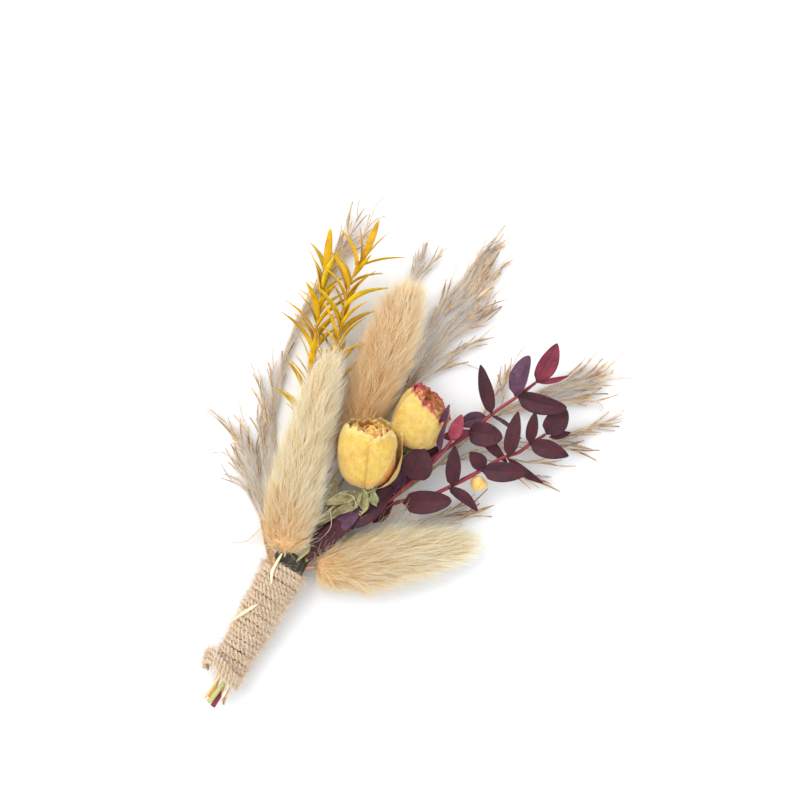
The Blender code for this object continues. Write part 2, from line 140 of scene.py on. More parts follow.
table_mesh = bpy.data.meshes.new("table")
half = TABLE_SIZE / 2
corners = [(-half, -half, 0), (half, -half, 0), (half, half, 0), (-half, half, 0)]
table_mesh.from_pydata(corners, [], [(0, 1, 2, 3)])
table = put_in_scene("table", table_mesh)
table_finish = bpy.data.materials.new("pale_table")
table_finish.use_nodes = True
table_surface = table_finish.node_tree.nodes["Principled BSDF"]
table_surface.inputs["Base Color"].default_value = (0.80, 0.805, 0.815, 1)
table_surface.inputs["Roughness"].default_value = 0.9
table_mesh.materials.append(table_finish)

room = bpy.data.worlds.new("room")
room.use_nodes = True
room.node_tree.nodes["Background"].inputs["Color"].default_value = (0.95, 0.975, 1.0, 1)
room.node_tree.nodes["Background"].inputs["Strength"].default_value = 1.42
bpy.context.scene.world = room


def panel(name, place, size, power, tint):
    """A soft square light at a place in metres, facing the bunch."""
    light = bpy.data.lights.new(name, "AREA")
    light.size = size
    light.energy = power
    light.color = tint
    lamp = put_in_scene(name, light)
    lamp.location = place
    lamp.rotation_mode = "QUATERNION"
    lamp.rotation_quaternion = (Vector(place) - AIM).to_track_quat("Z", "Y")


key_from = toward_top * 0.55 - RIGHT * 0.75 + Vector((0, 0, 1.1))
panel("key_light", key_from, size=1.2, power=14.0, tint=(1.0, 0.985, 0.96))
print("lights are in place")

# %% [markdown]
# ## Colours
# Every colour is written the way a paint chart gives it, as red, green and blue from 0 to 255. Cycles
# wants them linear, so a short function converts them.
# %% Colour helper


def paint(red, green, blue):
    """A chart colour as the linear colour that a shader wants."""
    found = []
    for value in (red, green, blue):
        share = value / 255
        found.append(share / 12.92 if share <= 0.04045 else ((share + 0.055) / 1.055) ** 2.4)
    return (*found, 1.0)


print("a mid straw colour:", [round(value, 3) for value in paint(214, 182, 130)])

# %% [markdown]
# ## Shader helpers
# Dried plants share a few effects: streaks of fibre along a stem or hair, fine speckle on a leaf, and the
# crepe-like creasing of a thin petal. Each is one node group with named sockets, built once and placed
# in every material with its own values. A small class keeps the node wiring short.
# %% Node wiring
KINDS = {"float": "NodeSocketFloat", "vector": "NodeSocketVector", "colour": "NodeSocketColor"}


class Wiring:
    """Adds nodes to a shader tree and links them in one call each."""

    def __init__(self, tree):
        self.tree = tree

    def add(self, kind, settings=None, **inputs):
        """A new node; each input is a value, or a socket to link from, by its name with _ for spaces."""
        node = self.tree.nodes.new(kind)
        for name, value in (settings or {}).items():
            setattr(node, name, value)
        for name, value in inputs.items():
            socket = node.inputs[int(name[1:])] if name[1:].isdigit() else node.inputs[name.replace("_", " ")]
            if isinstance(value, bpy.types.NodeSocket):
                self.tree.links.new(value, socket)
            else:
                socket.default_value = value
        return node

    def noise(self, vector, scale, detail=2.0, rough=0.5):
        """A noise value that is mostly from 0.3 to 0.7."""
        return self.add("ShaderNodeTexNoise", Vector=vector, Scale=scale, Detail=detail,
                        Roughness=rough).outputs["Fac"]

    def math(self, operation, a, b=0.0):
        return self.add("ShaderNodeMath", {"operation": operation}, i0=a, i1=b).outputs[0]

    def more(self, a, b):
        return self.math("ADD", a, b)

    def less(self, a, b):
        return self.math("SUBTRACT", a, b)

    def times(self, a, b):
        return self.math("MULTIPLY", a, b)

    def blend(self, share, a, b, mode="MIX"):
        """Two colours mixed by share."""
        node = self.add("ShaderNodeMix", {"data_type": "RGBA", "blend_type": mode}, i0=share, i6=a, i7=b)
        return node.outputs[2]

    def ramp(self, share, low, high):
        """Stretches low..high to 0..1, with soft ends."""
        node = self.add("ShaderNodeMapRange", {"interpolation_type": "SMOOTHSTEP"}, Value=share)
        node.inputs["From Min"].default_value = low
        node.inputs["From Max"].default_value = high
        return node.outputs[0]

    def attribute(self, name):
        """A value that the mesh carries."""
        return self.add("ShaderNodeAttribute", {"attribute_name": name}).outputs["Fac"]

    def carried(self, name):
        """A vector that the mesh carries."""
        return self.add("ShaderNodeAttribute", {"attribute_name": name}).outputs["Vector"]

    def stretch(self, vector, scale):
        """The same coordinates, scaled along each axis."""
        node = self.add("ShaderNodeMapping", Vector=vector)
        node.inputs["Scale"].default_value = scale
        return node.outputs[0]

    def place(self):
        return self.add("ShaderNodeTexCoord").outputs["Object"]

    def parts(self, vector):
        """The X, Y and Z of a vector."""
        return self.add("ShaderNodeSeparateXYZ", Vector=vector).outputs

    def vector(self, operation, a, b=None, scale=None):
        """Vector arithmetic; b and scale are given where the operation takes them."""
        given = {"i0": a, "i1": b, "Scale": scale}
        given = {name: value for name, value in given.items() if value is not None}
        return self.add("ShaderNodeVectorMath", {"operation": operation}, **given).outputs[0]

    def link(self, output, socket):
        self.tree.links.new(output, socket)


def shader_group(name, takes, gives):
    """An empty group with these sockets: (group, wiring, what it takes, what it gives)."""
    group = bpy.data.node_groups.new(name, "ShaderNodeTree")
    for label, kind, value in takes:
        socket = group.interface.new_socket(label, in_out="INPUT", socket_type=KINDS[kind])
        if value is not None:
            socket.default_value = value
    for label, kind in gives:
        group.interface.new_socket(label, in_out="OUTPUT", socket_type=KINDS[kind])
    wiring = Wiring(group)
    return group, wiring, wiring.add("NodeGroupInput").outputs, wiring.add("NodeGroupOutput").inputs


print("socket kinds:", sorted(KINDS))

# %% Group: mottle
# Broad and fine uneven colour, as any dried surface has.
mottle, w, taken, given = shader_group(
    "mottle",
    [("Place", "vector", None), ("Scale", "float", 400.0), ("Light", "colour", (0.8, 0.8, 0.8, 1)),
     ("Dark", "colour", (0.4, 0.4, 0.4, 1)), ("Contrast", "float", 1.0)],
    [("Colour", "colour"), ("Height", "float")],
)
broad = w.noise(taken["Place"], taken["Scale"], 3.0, 0.55)
finer = w.noise(taken["Place"], w.times(taken["Scale"], 4.7), 2.0, 0.6)
both = w.more(w.times(broad, 0.65), w.times(finer, 0.35))
spread = w.more(w.times(w.less(both, 0.5),
                              w.times(taken["Contrast"], 3.2)), 0.5)
w.link(w.blend(spread, taken["Dark"], taken["Light"]), given["Colour"])
w.link(both, given["Height"])
print("group:", mottle.name)

# %% Group: speckle
# Fine pale dots, as the bloom and pores of a eucalyptus leaf or a petal's grain.
speckle, w, taken, given = shader_group(
    "speckle",
    [("Place", "vector", None), ("Scale", "float", 3000.0), ("Amount", "float", 0.5)],
    [("Mask", "float"), ("Height", "float")],
)
cells = w.add("ShaderNodeTexVoronoi", Vector=taken["Place"], Scale=taken["Scale"])
dots = w.less(1.0, w.ramp(cells.outputs["Distance"], 0.12, 0.42))
patchy = w.ramp(w.noise(taken["Place"], w.times(taken["Scale"], 0.12), 2.0), 0.35, 0.65)
w.link(w.times(w.times(dots, patchy), taken["Amount"]),
                 given["Mask"])
w.link(dots, given["Height"])
print("group:", speckle.name)

# %% Group: creases
# The crepe of a dried petal: two layers of stretched, folded noise.
creases, w, taken, given = shader_group(
    "creases",
    [("Place", "vector", None), ("Scale", "float", 600.0)],
    [("Height", "float"), ("Ridge", "float")],
)
bent = w.add("ShaderNodeTexNoise", Vector=taken["Place"], Scale=taken["Scale"], Detail=4.0,
             Roughness=0.6, Distortion=1.2).outputs["Fac"]
fold = w.math("ABSOLUTE", w.less(bent, 0.5))
ridge = w.less(1.0, w.ramp(fold, 0.0, 0.09))
w.link(w.more(w.times(bent, 0.7), w.times(ridge, 0.3)),
                 given["Height"])
w.link(ridge, given["Ridge"])
print("group:", creases.name)


def use(wiring, group, **inputs):
    """A group placed in a material."""
    return wiring.add("ShaderNodeGroup", {"node_tree": group}, **inputs).outputs


def mottled(wiring, place, scale, light, dark, contrast):
    """The mottle group between two chart colours."""
    return use(wiring, mottle, Place=place, Scale=scale, Light=paint(*light), Dark=paint(*dark),
               Contrast=contrast)


def new_finish(name, rough, sheen=0.0, coat=0.0):
    """A material with its Principled shader ready, as (material, wiring, shader)."""
    made = bpy.data.materials.new(name)
    made.use_nodes = True
    shader = made.node_tree.nodes["Principled BSDF"]
    shader.inputs["Roughness"].default_value = rough
    shader.inputs["Sheen Weight"].default_value = sheen
    shader.inputs["Coat Weight"].default_value = coat
    return made, Wiring(made.node_tree), shader


def bump(wiring, shader, height, strength, distance=0.0001):
    """Feeds a height to the shader's normal."""
    node = wiring.add("ShaderNodeBump", Height=height, Strength=strength, Distance=distance)
    wiring.link(node.outputs[0], shader.inputs["Normal"])


def colour_by(wiring, shader, colour):
    wiring.link(colour, shader.inputs["Base Color"])


# %% [markdown]
# ## Mesh helpers
# Most pieces are one of three forms: a tube that follows a route, a thin sheet with an edge, or a growth
# of many small things over a surface or along a path. The first two are plain mesh code here. Each mesh
# can carry values per point, such as how far along the piece it is, and the materials read those.
# %% Pieces
made_pieces = []


def carry(mesh, label, numbers):
    """Gives each point of a mesh its own named value."""
    vector = hasattr(numbers[0], "__len__")
    layer = mesh.attributes.new(label, "FLOAT_VECTOR" if vector else "FLOAT", "POINT")
    layer.data.foreach_set("vector" if vector else "value", np.array(numbers, np.float32).ravel())


def to_object(name, points, faces, finish, values):
    """A mesh object from points in metres, with named values for its points."""
    mesh = bpy.data.meshes.new(name)
    mesh.from_pydata([tuple(point) for point in points], [], faces)
    for label, numbers in values.items():
        carry(mesh, label, numbers)
    mesh.materials.append(finish)
    mesh.polygons.foreach_set("use_smooth", [True] * len(mesh.polygons))
    mesh.update()
    return put_in_scene(name, mesh)


def joined(name, pieces):
    """Several mesh objects as one piece with one mesh."""
    whole = bmesh.new()
    finishes = []
    for piece in pieces:
        start = len(whole.faces)
        whole.from_mesh(piece.data)
        whole.faces.ensure_lookup_table()
        local = [slot.material for slot in piece.material_slots]
        for finish in local:
            if finish not in finishes:
                finishes.append(finish)
        for face in whole.faces[start:]:
            face.material_index = finishes.index(local[min(face.material_index, len(local) - 1)])
    mesh = bpy.data.meshes.new(name)
    whole.to_mesh(mesh)
    whole.free()
    for finish in finishes:
        mesh.materials.append(finish)
    discard(*pieces)
    return put_in_scene(name, mesh)


def keep(piece, slot, *nodes):
    """Registers a finished piece: it rides on the bunch and stands for these nodes."""
    piece.data.validate()
    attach(piece, RIDES_ON)
    if nodes:
        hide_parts(*nodes)
    made_pieces.append(piece.name)
    triangles = sum(len(face.vertices) - 2 for face in piece.data.polygons)
    print(f"{piece.name}: {triangles} triangles")


def frames_along(route):
    """(tangent, side, up) at each point, turned as little as possible from one to the next."""
    found = []
    up = Vector((0, 0, 1))
    for i in range(len(route)):
        ahead = (route[min(i + 1, len(route) - 1)] - route[max(i - 1, 0)]).normalized()
        side = ahead.cross(up)
        if side.length < 1e-4:
            side = ahead.orthogonal()
        side.normalize()
        up = side.cross(ahead).normalized()
        found.append((ahead, side, up))
    return found


def loop_pairs(count):
    """Each place round a loop with the one after it."""
    return [(k, (k + 1) % count) for k in range(count)]


def skin_faces(steps, count):
    """The faces between rings of this many points, one ring after each step."""
    return [(i * count + k, (i + 1) * count + k, (i + 1) * count + n, i * count + n)
            for i in range(steps) for k, n in loop_pairs(count)]


def tube(name, route, radius_of, finish, sides=12, dent=0.0, flat=1.0, seed=0.0, ends="cut"):
    """A closed tube along a route in millimetres. radius_of(share) is its radius and dent its unevenness."""
    points, share_values, cut_values, around_values = [], [], [], []
    frames = frames_along(route)
    count = len(route)
    for i, (point, (_, side, up)) in enumerate(zip(route, frames)):
        share = i / (count - 1)
        radius = radius_of(share)
        for k in range(sides):
            turn = 2 * math.pi * k / sides
            outward = side * math.cos(turn) + up * math.sin(turn) * flat
            rough = 1.0
            if dent:
                rough += dent * noise.noise(outward * 1.7 + Vector((seed, 0, share * count * 0.35)))
            points.append(at(point + outward * radius * rough))
            share_values.append(share)
            cut_values.append(0.0)
            around_values.append((math.cos(turn), math.sin(turn), share))
    faces = skin_faces(count - 1, sides)
    for ring, share, order in ((0, 0.0, 1), (count - 1, 1.0, -1)):
        first = len(points)
        middle = at(route[ring])
        edges = points[ring * sides:(ring + 1) * sides]
        points += [middle + (edge - middle) * scale for scale in (0.97, 0.5) for edge in edges]
        hub = len(points)
        points.append(middle)
        cap_points = hub + 1 - first
        share_values += [share] * cap_points
        cut_values += [1.0 if ends == "cut" else 0.0] * cap_points
        around_values += [(0.0, 0.0, share)] * cap_points
        loops = [ring * sides, first, first + sides]
        cap = [(outer + k, outer + n, inner + n, inner + k)
               for outer, inner in zip(loops, loops[1:]) for k, n in loop_pairs(sides)]
        cap += [(first + sides + k, first + sides + n, hub) for k, n in loop_pairs(sides)]
        faces += [face[::order] for face in cap]
    return to_object(name, points, faces, finish,
                     {"share": share_values, "cut": cut_values, "around": around_values})


def sheet_solid(name, shape_of, across, up, thickness, finish, extra=None):
    """A thin closed sheet. shape_of(u, v) gives a place in millimetres for u and v from 0 to 1. Both faces,
    and a rim between them, are real. It carries u and v, and extra(u, v) as "shade"."""
    places = [[Vector(shape_of(i / across, j / up)) for i in range(across + 1)] for j in range(up + 1)]

    def normal_at(i, j):
        left, right = places[j][max(i - 1, 0)], places[j][min(i + 1, across)]
        below, above = places[max(j - 1, 0)][i], places[min(j + 1, up)][i]
        found = (right - left).cross(above - below)
        return found.normalized() if found.length > 1e-9 else Vector((0, 0, 1))

    points, shares, values = [], [], []
    for side in (1, -1):
        for j in range(up + 1):
            for i in range(across + 1):
                u, v = i / across, j / up
                rim = min(u, 1 - u, v, 1 - v)
                slim = 0.35 + 0.65 * min(rim * 8, 1.0)
                points.append(at(places[j][i] + normal_at(i, j) * side * thickness * slim / 2))
                shares.append((u, v, side))
                values.append(extra(u, v) if extra else 0.0)
    width = across + 1
    other = width * (up + 1)
    faces = []
    for j in range(up):
        for i in range(across):
            a = j * width + i
            face = (a, a + 1, a + width + 1, a + width)
            faces.append(face)
            faces.append(tuple(other + corner for corner in face[::-1]))
    rim_loop = list(range(width)) + [j * width + across for j in range(1, up + 1)]
    rim_loop += [up * width + i for i in range(across - 1, -1, -1)]
    rim_loop += [j * width for j in range(up - 1, 0, -1)]
    for here, after in zip(rim_loop, rim_loop[1:] + rim_loop[:1]):
        faces.append((after, here, other + here, other + after))
    return to_object(name, points, faces, finish, {"share": shares, "shade": values})


print("mesh helpers are ready")

# %% [markdown]
# ## Growing things with Geometry Nodes
# Fur, stray fibres, spikelets and narrow leaves repeat thousands of times, so each kind is grown by a
# node tree with named sizes and a fixed seed. The result is turned into a plain mesh at once and the
# modifier goes away with its object, because the next steps want finished meshes.
# %% Tree helpers
TREE_KINDS = {
    "float": "NodeSocketFloat", "int": "NodeSocketInt", "material": "NodeSocketMaterial",
    "object": "NodeSocketObject", "geometry": "NodeSocketGeometry",
}


def growth_tree(name, takes):
    """An empty geometry tree with named inputs: (tree, wiring, inputs' sockets, the end's socket)."""
    tree = bpy.data.node_groups.new(name, "GeometryNodeTree")
    tree.is_modifier = True
    tree.interface.new_socket("Geometry", in_out="INPUT", socket_type="NodeSocketGeometry")
    for label, kind, value in takes:
        socket = tree.interface.new_socket(label, in_out="INPUT", socket_type=TREE_KINDS[kind])
        if value is not None:
            socket.default_value = value
    tree.interface.new_socket("Geometry", in_out="OUTPUT", socket_type="NodeSocketGeometry")
    wiring = Growing(tree)
    return tree, wiring, wiring.add("NodeGroupInput").outputs, wiring.add("NodeGroupOutput").inputs[0]


def grow(name, base, tree, leave_base=False, **inputs):
    """Runs the tree on the base object and returns the result as a plain mesh object."""
    modifier = base.modifiers.new("Growth", "NODES")
    modifier.node_group = tree
    for item in tree.interface.items_tree:
        key = item.name.replace(" ", "_")
        if item.item_type == "SOCKET" and item.in_out == "INPUT" and key in inputs:
            modifier[item.identifier] = inputs[key]
    graph = bpy.context.evaluated_depsgraph_get()
    graph.update()
    mesh = bpy.data.meshes.new_from_object(base.evaluated_get(graph))
    base.modifiers.remove(modifier)
    if not leave_base:
        discard(base)
    mesh.name = name
    return put_in_scene(name, mesh)


class Growing(Wiring):
    """The few geometry nodes that most of the trees share."""

    def named(self, name, kind="FLOAT"):
        return self.add("GeometryNodeInputNamedAttribute", {"data_type": kind}, Name=name).outputs[0]

    def store(self, geometry, name, value, kind="FLOAT"):
        settings = {"data_type": kind, "domain": "POINT"}
        node = self.add("GeometryNodeStoreNamedAttribute", settings, Geometry=geometry, Name=name,
                        Value=value)
        return node.outputs[0]

    def random(self, low, high, seed, kind="FLOAT"):
        """A random value per point; seed is a socket or a number."""
        first, out = (0, 0) if kind == "FLOAT_VECTOR" else (2, 1)
        limits = {f"i{first}": low, f"i{first + 1}": high}
        return self.add("FunctionNodeRandomValue", {"data_type": kind}, Seed=seed, **limits).outputs[out]

    def scaled(self, vector, scale):
        return self.vector("SCALE", vector, scale=scale)

    def plus(self, *vectors):
        total = vectors[0]
        for vector in vectors[1:]:
            total = self.vector("ADD", total, vector)
        return total

    def swept(self, lines, section, scale):
        """A closed, smooth skin that carries the section along the lines."""
        skin = self.add("GeometryNodeCurveToMesh", i0=lines, i1=section, Scale=scale,
                        Fill_Caps=True).outputs[0]
        skin = self.add("GeometryNodeSetShadeSmooth", i0=skin).outputs[0]
        return self.add("GeometryNodeRealizeInstances", Geometry=skin).outputs[0]

    def deliver(self, geometry, finish, end):
        """Gives the geometry its finish and makes it the tree's result."""
        self.link(self.add("GeometryNodeSetMaterial", Geometry=geometry, Material=finish).outputs[0], end)


print("tree inputs can be:", sorted(TREE_KINDS))

# %% [markdown]
# ## The tree that grows hair
# A bunny tail's fur, the stray fibres of jute and the silk on a reed are all the same thing: thin hairs
# that leave a surface, lean one way and curl. The tree scatters roots over the surface, sets out a short
# line at each, bends it by the root's own random values, and gives it three sides and a taper. The
# surface says which way to lean ("sweep") and how thickly to grow ("growth"). No hair goes below the
# table.
# %% Hair tree
hair_tree, w, taken, end = growth_tree("hair_over_a_surface", [
    ("Hairs Per Square Millimetre", "float", 2.0), ("Length", "float", 0.006), ("Uneven", "float", 0.35),
    ("Lift", "float", 0.5), ("Droop", "float", 0.4), ("Curl", "float", 0.3), ("Wander", "float", 0.3),
    ("Tuft", "float", 0.0), ("Tuft Size", "float", 0.0025), ("Radius", "float", 0.00005),
    ("Steps", "int", 4), ("Lowest", "float", 0.0002), ("Seed", "int", 1), ("Finish", "material", None),
])
density = w.times(w.times(taken["Hairs Per Square Millimetre"], 1e6), w.named("growth"))
scatter = w.add("GeometryNodeDistributePointsOnFaces", {"distribute_method": "RANDOM"},
                Mesh=taken["Geometry"], Density=density, Seed=taken["Seed"])
roots = scatter.outputs["Points"]
sweep = w.named("sweep", "FLOAT_VECTOR")
normal = scatter.outputs["Normal"]
lift = w.times(taken["Lift"], w.random(0.55, 1.35, w.more(taken["Seed"], 11)))
wander = w.scaled(w.random((-1, -1, -1), (1, 1, 1), w.more(taken["Seed"], 12), "FLOAT_VECTOR"),
                  taken["Wander"])
spot = w.scaled(w.add("GeometryNodeInputPosition").outputs[0], w.math("DIVIDE", 1.0, taken["Tuft Size"]))
tuft = w.add("ShaderNodeTexNoise", Vector=spot, Scale=1.0, Detail=1.0).outputs["Color"]
tuft = w.scaled(w.vector("SUBTRACT", tuft, (0.5, 0.5, 0.5)), taken["Tuft"])
aim = w.vector("NORMALIZE", w.plus(sweep, w.scaled(normal, lift), wander, tuft))
curl = w.scaled(w.random((-1, -1, -1), (1, 1, 1), w.more(taken["Seed"], 13), "FLOAT_VECTOR"),
                taken["Curl"])
droop = w.times(w.times(lift, taken["Droop"]), -1.0)
bend = w.plus(w.scaled(sweep, 0.25), curl, w.scaled(normal, droop), w.scaled(tuft, 0.6))
shorter = w.less(1.0, taken["Uneven"])
luck = w.random(0.0, 1.0, w.more(taken["Seed"], 14))
reach = w.times(taken["Length"], w.more(shorter, w.times(luck, taken["Uneven"])))
reach = w.times(reach, w.named("lengthen"))
roots = w.store(roots, "root", w.add("GeometryNodeInputPosition").outputs[0], "FLOAT_VECTOR")
roots = w.store(roots, "aim", aim, "FLOAT_VECTOR")
roots = w.store(roots, "bend", bend, "FLOAT_VECTOR")
roots = w.store(roots, "reach", reach)
roots = w.store(roots, "tone", w.random(0.0, 1.0, w.more(taken["Seed"], 15)))
line = w.add("GeometryNodeCurvePrimitiveLine", i1=(0, 0, 0.001))
strand = w.add("GeometryNodeResampleCurve", Curve=line.outputs[0], Count=taken["Steps"]).outputs[0]
planted = w.add("GeometryNodeInstanceOnPoints", Points=roots, Instance=strand).outputs[0]
lines = w.add("GeometryNodeRealizeInstances", Geometry=planted).outputs[0]
way = w.add("GeometryNodeSplineParameter").outputs["Factor"]
way_reach = w.times(way, w.named("reach"))
curved = w.plus(
    w.named("root", "FLOAT_VECTOR"),
    w.scaled(w.named("aim", "FLOAT_VECTOR"), way_reach),
    w.scaled(w.named("bend", "FLOAT_VECTOR"), w.times(way_reach, way)),
)
apart = w.parts(curved)
above = w.math("MAXIMUM", apart[2], taken["Lowest"])
lines = w.add("GeometryNodeSetPosition", Geometry=lines,
              Position=w.add("ShaderNodeCombineXYZ", X=apart[0], Y=apart[1], Z=above).outputs[0]).outputs[0]
lines = w.store(lines, "along", way)
thin = w.times(taken["Radius"], w.less(1.0, w.times(way, 0.82)))
three_sides = w.add("GeometryNodeCurvePrimitiveCircle", Resolution=3, Radius=1.0).outputs[0]
w.deliver(w.swept(lines, three_sides, thin), taken["Finish"], end)
print("tree:", hair_tree.name, "with", len(hair_tree.nodes), "nodes")


def hair(name, surface, finish, per_mm2, length, lift, curl, wander, radius, seed, steps=4, uneven=0.35,
         droop=0.45, tuft=0.0, tuft_size=2.5):
    """Hair over an object's mesh, which stays. Sizes are in millimetres."""
    return grow(name, surface, hair_tree, True, Hairs_Per_Square_Millimetre=per_mm2, Length=length * MM,
                Uneven=uneven, Lift=lift, Droop=droop, Curl=curl, Wander=wander, Tuft=tuft,
                Tuft_Size=tuft_size * MM, Radius=radius * MM, Steps=steps,
                Seed=seed, Finish=finish)


# %% [markdown]
# ## Bunny tail grasses
# Three soft oval heads are the biggest shapes of the bunch. Each is a dense spindle of very fine hairs
# that all lean towards the tip, with a few longer bristles that cross each other. A bump map would give
# a hard egg, so the fur is grown. Under it lies a streaked body that fills the gaps.
# %% Fur finishes


def fur_finish(name, root, middle, tip, base_end, tip_end, rough=0.75):
    """Hair that is deeper at the root and paler at the tip, and differs from strand to strand. The whole
    head is deeper at its base too: base_end and tip_end say where along the bunch, in metres."""
    made, wire, shader = new_finish(name, rough, sheen=0.25)
    way, tone = wire.attribute("along"), wire.attribute("tone")
    lower = wire.blend(wire.ramp(way, 0.0, 0.45), paint(*root), paint(*middle))
    whole = wire.blend(wire.ramp(way, 0.35, 0.95), lower, paint(*tip))
    patch = wire.noise(wire.place(), 260.0, 2.0)
    varied = wire.more(wire.times(tone, 0.55), wire.times(patch, 0.45))
    darker = wire.blend(0.22, whole, paint(*root), "MULTIPLY")
    varied_colour = wire.blend(wire.ramp(varied, 0.2, 0.6), darker, whole)
    ways = wire.parts(wire.place())
    deeper = wire.blend(1.0, varied_colour, paint(244, 226, 200), "MULTIPLY")
    colour_by(wire, shader, wire.blend(wire.ramp(ways[1], base_end, tip_end), deeper, varied_colour))
    wire.link(wire.more(wire.times(tone, 0.2), rough - 0.1),
                        shader.inputs["Roughness"])
    shader.inputs["Subsurface Weight"].default_value = 0.35
    shader.inputs["Subsurface Radius"].default_value = (1.0, 0.85, 0.65)
    shader.inputs["Subsurface Scale"].default_value = 0.0006
    return made


def body_finish(name, light, dark):
    """The body under the fur: streaks that run to the tip."""
    made, wire, shader = new_finish(name, 0.9, sheen=0.2)
    flow = wire.stretch(wire.carried("around"), (26.0, 26.0, 3.0))
    mixed = mottled(wire, flow, 1.4, light, dark, 1.3)
    colour_by(wire, shader, mixed["Colour"])
    bump(wire, shader, mixed["Height"], 0.6, 0.0003)
    return made


cream_fur = fur_finish("cream_fur", (240, 200, 136), (255, 234, 174), (255, 252, 232), -0.036, -0.008)
tan_fur = fur_finish("tan_fur", (238, 178, 98), (255, 216, 142), (255, 243, 208), 0.0, 0.046)
cream_body = body_finish("cream_body", (255, 226, 172), (236, 190, 126))
tan_body = body_finish("tan_body", (238, 190, 124), (206, 150, 86))
print("fur finishes are ready")

# %% Bunny tail heads
AXIS_STEPS = 10
AROUND = 36
ROUNDED = 0.085                       # the share of a head's length that its blunt base takes


def head_body(name, axis, radii, finish, seed):
    """The blunt spindle under the fur, with the values that the hair tree wants."""
    route = smooth(axis, AXIS_STEPS)
    points, sweeps, lengths, arounds = [], [], [], []
    frames = frames_along(route)
    last = len(route) - 1
    for i, (point, (ahead, side, up)) in enumerate(zip(route, frames)):
        share = i / last
        opened = 1 - min((share + 0.008) / ROUNDED, 1.0)
        radius = along(radii, share) * math.sqrt(1 - opened ** 2)
        lead = min(share / (2 * ROUNDED), 1.0)
        for k in range(AROUND):
            turn = 2 * math.pi * k / AROUND
            outward = side * math.cos(turn) + up * math.sin(turn)
            lump = 1 + 0.10 * noise.noise(outward * 1.3 + Vector((seed, share * 7, 0)))
            points.append(at(point + outward * radius * lump))
            forward = (ahead * (0.25 + 0.75 * lead) + outward * 0.75 * (1 - lead)).normalized()
            sweeps.append(tuple(forward * (1 + 0.9 * max(share - 0.45, 0))))
            lengths.append(0.58 + 0.42 * min(share * 4.5, 1.0) - 0.14 * max(share - 0.6, 0) / 0.4)
            arounds.append((math.cos(turn), math.sin(turn), share))
    faces = skin_faces(last, AROUND)
    for ring, order in ((0, 1), (last, -1)):
        points.append(at(route[ring]))
        sweeps.append(tuple(frames[ring][0]))
        lengths.append(0.6)
        arounds.append((0.0, 0.0, ring / last))
        hub = len(points) - 1
        faces += [(ring * AROUND + k, ring * AROUND + n, hub)[::order] for k, n in loop_pairs(AROUND)]
    return to_object(name, points, faces, finish, {
        "sweep": sweeps, "growth": [1.0] * len(points), "lengthen": lengths, "around": arounds})


def bunny_tail(side, axis, radii, body, fur, slot, seed, per_mm2):
    """One head: its body, its fur and its long bristles."""
    node = f"bunny_tail_{side}_head"
    core = head_body(node, axis, radii, body, seed)
    fluff = hair(f"{node}_fur", core, fur, per_mm2, 6.8, 0.98, 0.26, 0.24, 0.076, seed, 4, droop=0.22,
                 tuft=1.4)
    bristles = hair(f"{node}_bristles", core, fur, 1.2, 10.2, 1.05, 0.34, 0.34, 0.048, seed + 50, 5,
                    droop=0.28,
                    tuft=0.8)
    keep(core, slot, node)
    keep(fluff, slot)
    keep(bristles, slot)


LEFT_AXIS = [
    (-2.75, 4.75, 11.4), (-5.6, 12, 13.2), (-8.2, 20, 14.6), (-11.8, 31, 15.2), (-15.5, 44, 15.6),
    (-17.6, 52.5, 15.8), (-18.3, 56.5, 15.8),
]
BACK_AXIS = [
    (-1.6, 37, 6.2), (-3, 47, 7.8), (-5.4, 60, 9.8), (-6.9, 69, 10.2), (-8.6, 77, 10.2), (-9.6, 83, 10.2),
    (-9.9, 86, 10.2),
]
RIGHT_AXIS = [
    (7.5, 5.2, 6.7), (12, 8.6, 6.6), (17.5, 12.4, 6.4), (24, 18, 6.4), (31, 23.8, 6.2),
    (37, 28.8, 6), (40.6, 31.8, 5.8),
]
bunny_tail("left", LEFT_AXIS, [3.8, 5.0, 5.1, 4.2, 3.3, 1.9, 0.5], cream_body, cream_fur, "cream_bunny_tail",
           3, 6.3)
bunny_tail("back", BACK_AXIS, [3.4, 4.2, 4.8, 5.2, 4.6, 3.0, 1.0], tan_body, tan_fur, "tan_bunny_tail", 5,
           6.9)
bunny_tail("right", RIGHT_AXIS, [4.0, 5.4, 5.8, 5.4, 4.5, 3.0, 1.0], cream_body, cream_fur,
           "cream_bunny_tail", 7, 6.7)

# %% [markdown]
# ## Jute twine
# The twine is one length of two-ply jute, wound tightly down the stems and hitched over its own last
# turns. A smooth tube would look like wire. The tree below sweeps two round plies along the path and
# turns the pair as it goes, which gives the real rope lay, and the fibre pattern turns with it. Stray
# fibres then grow from it with the hair tree.
# %% The bundle inside the twine
WRAP_LENGTH = 33.0
WRAP_TOP_RADIUS = 6.5
WRAP_LOW_RADIUS = 4.8
WRAP_DRIFT = 0.5
TWINE_DIAMETER = 1.2
TWINE_TURNS = 23
STEM_RADIUS = 0.47
CUT_RADIUS = 0.78
TAPE_TOP = 2.0


def wrap_radius(y):
    """The outside of the twine at this distance along the bundle."""
    return WRAP_TOP_RADIUS + (WRAP_TOP_RADIUS - WRAP_LOW_RADIUS) * y / WRAP_LENGTH


def bundle_point(y, radius, angle):
    """A point beside the bundle's axis. The wrap lies on the table, so its axis is one radius up."""
    turn = math.radians(angle)
    x = -WRAP_DRIFT * y / WRAP_LENGTH + radius * math.cos(turn)
    return Vector((x, y, wrap_radius(y) + radius * math.sin(turn)))


print("the wrap tapers from", 2 * WRAP_TOP_RADIUS, "to", 2 * WRAP_LOW_RADIUS, "mm")

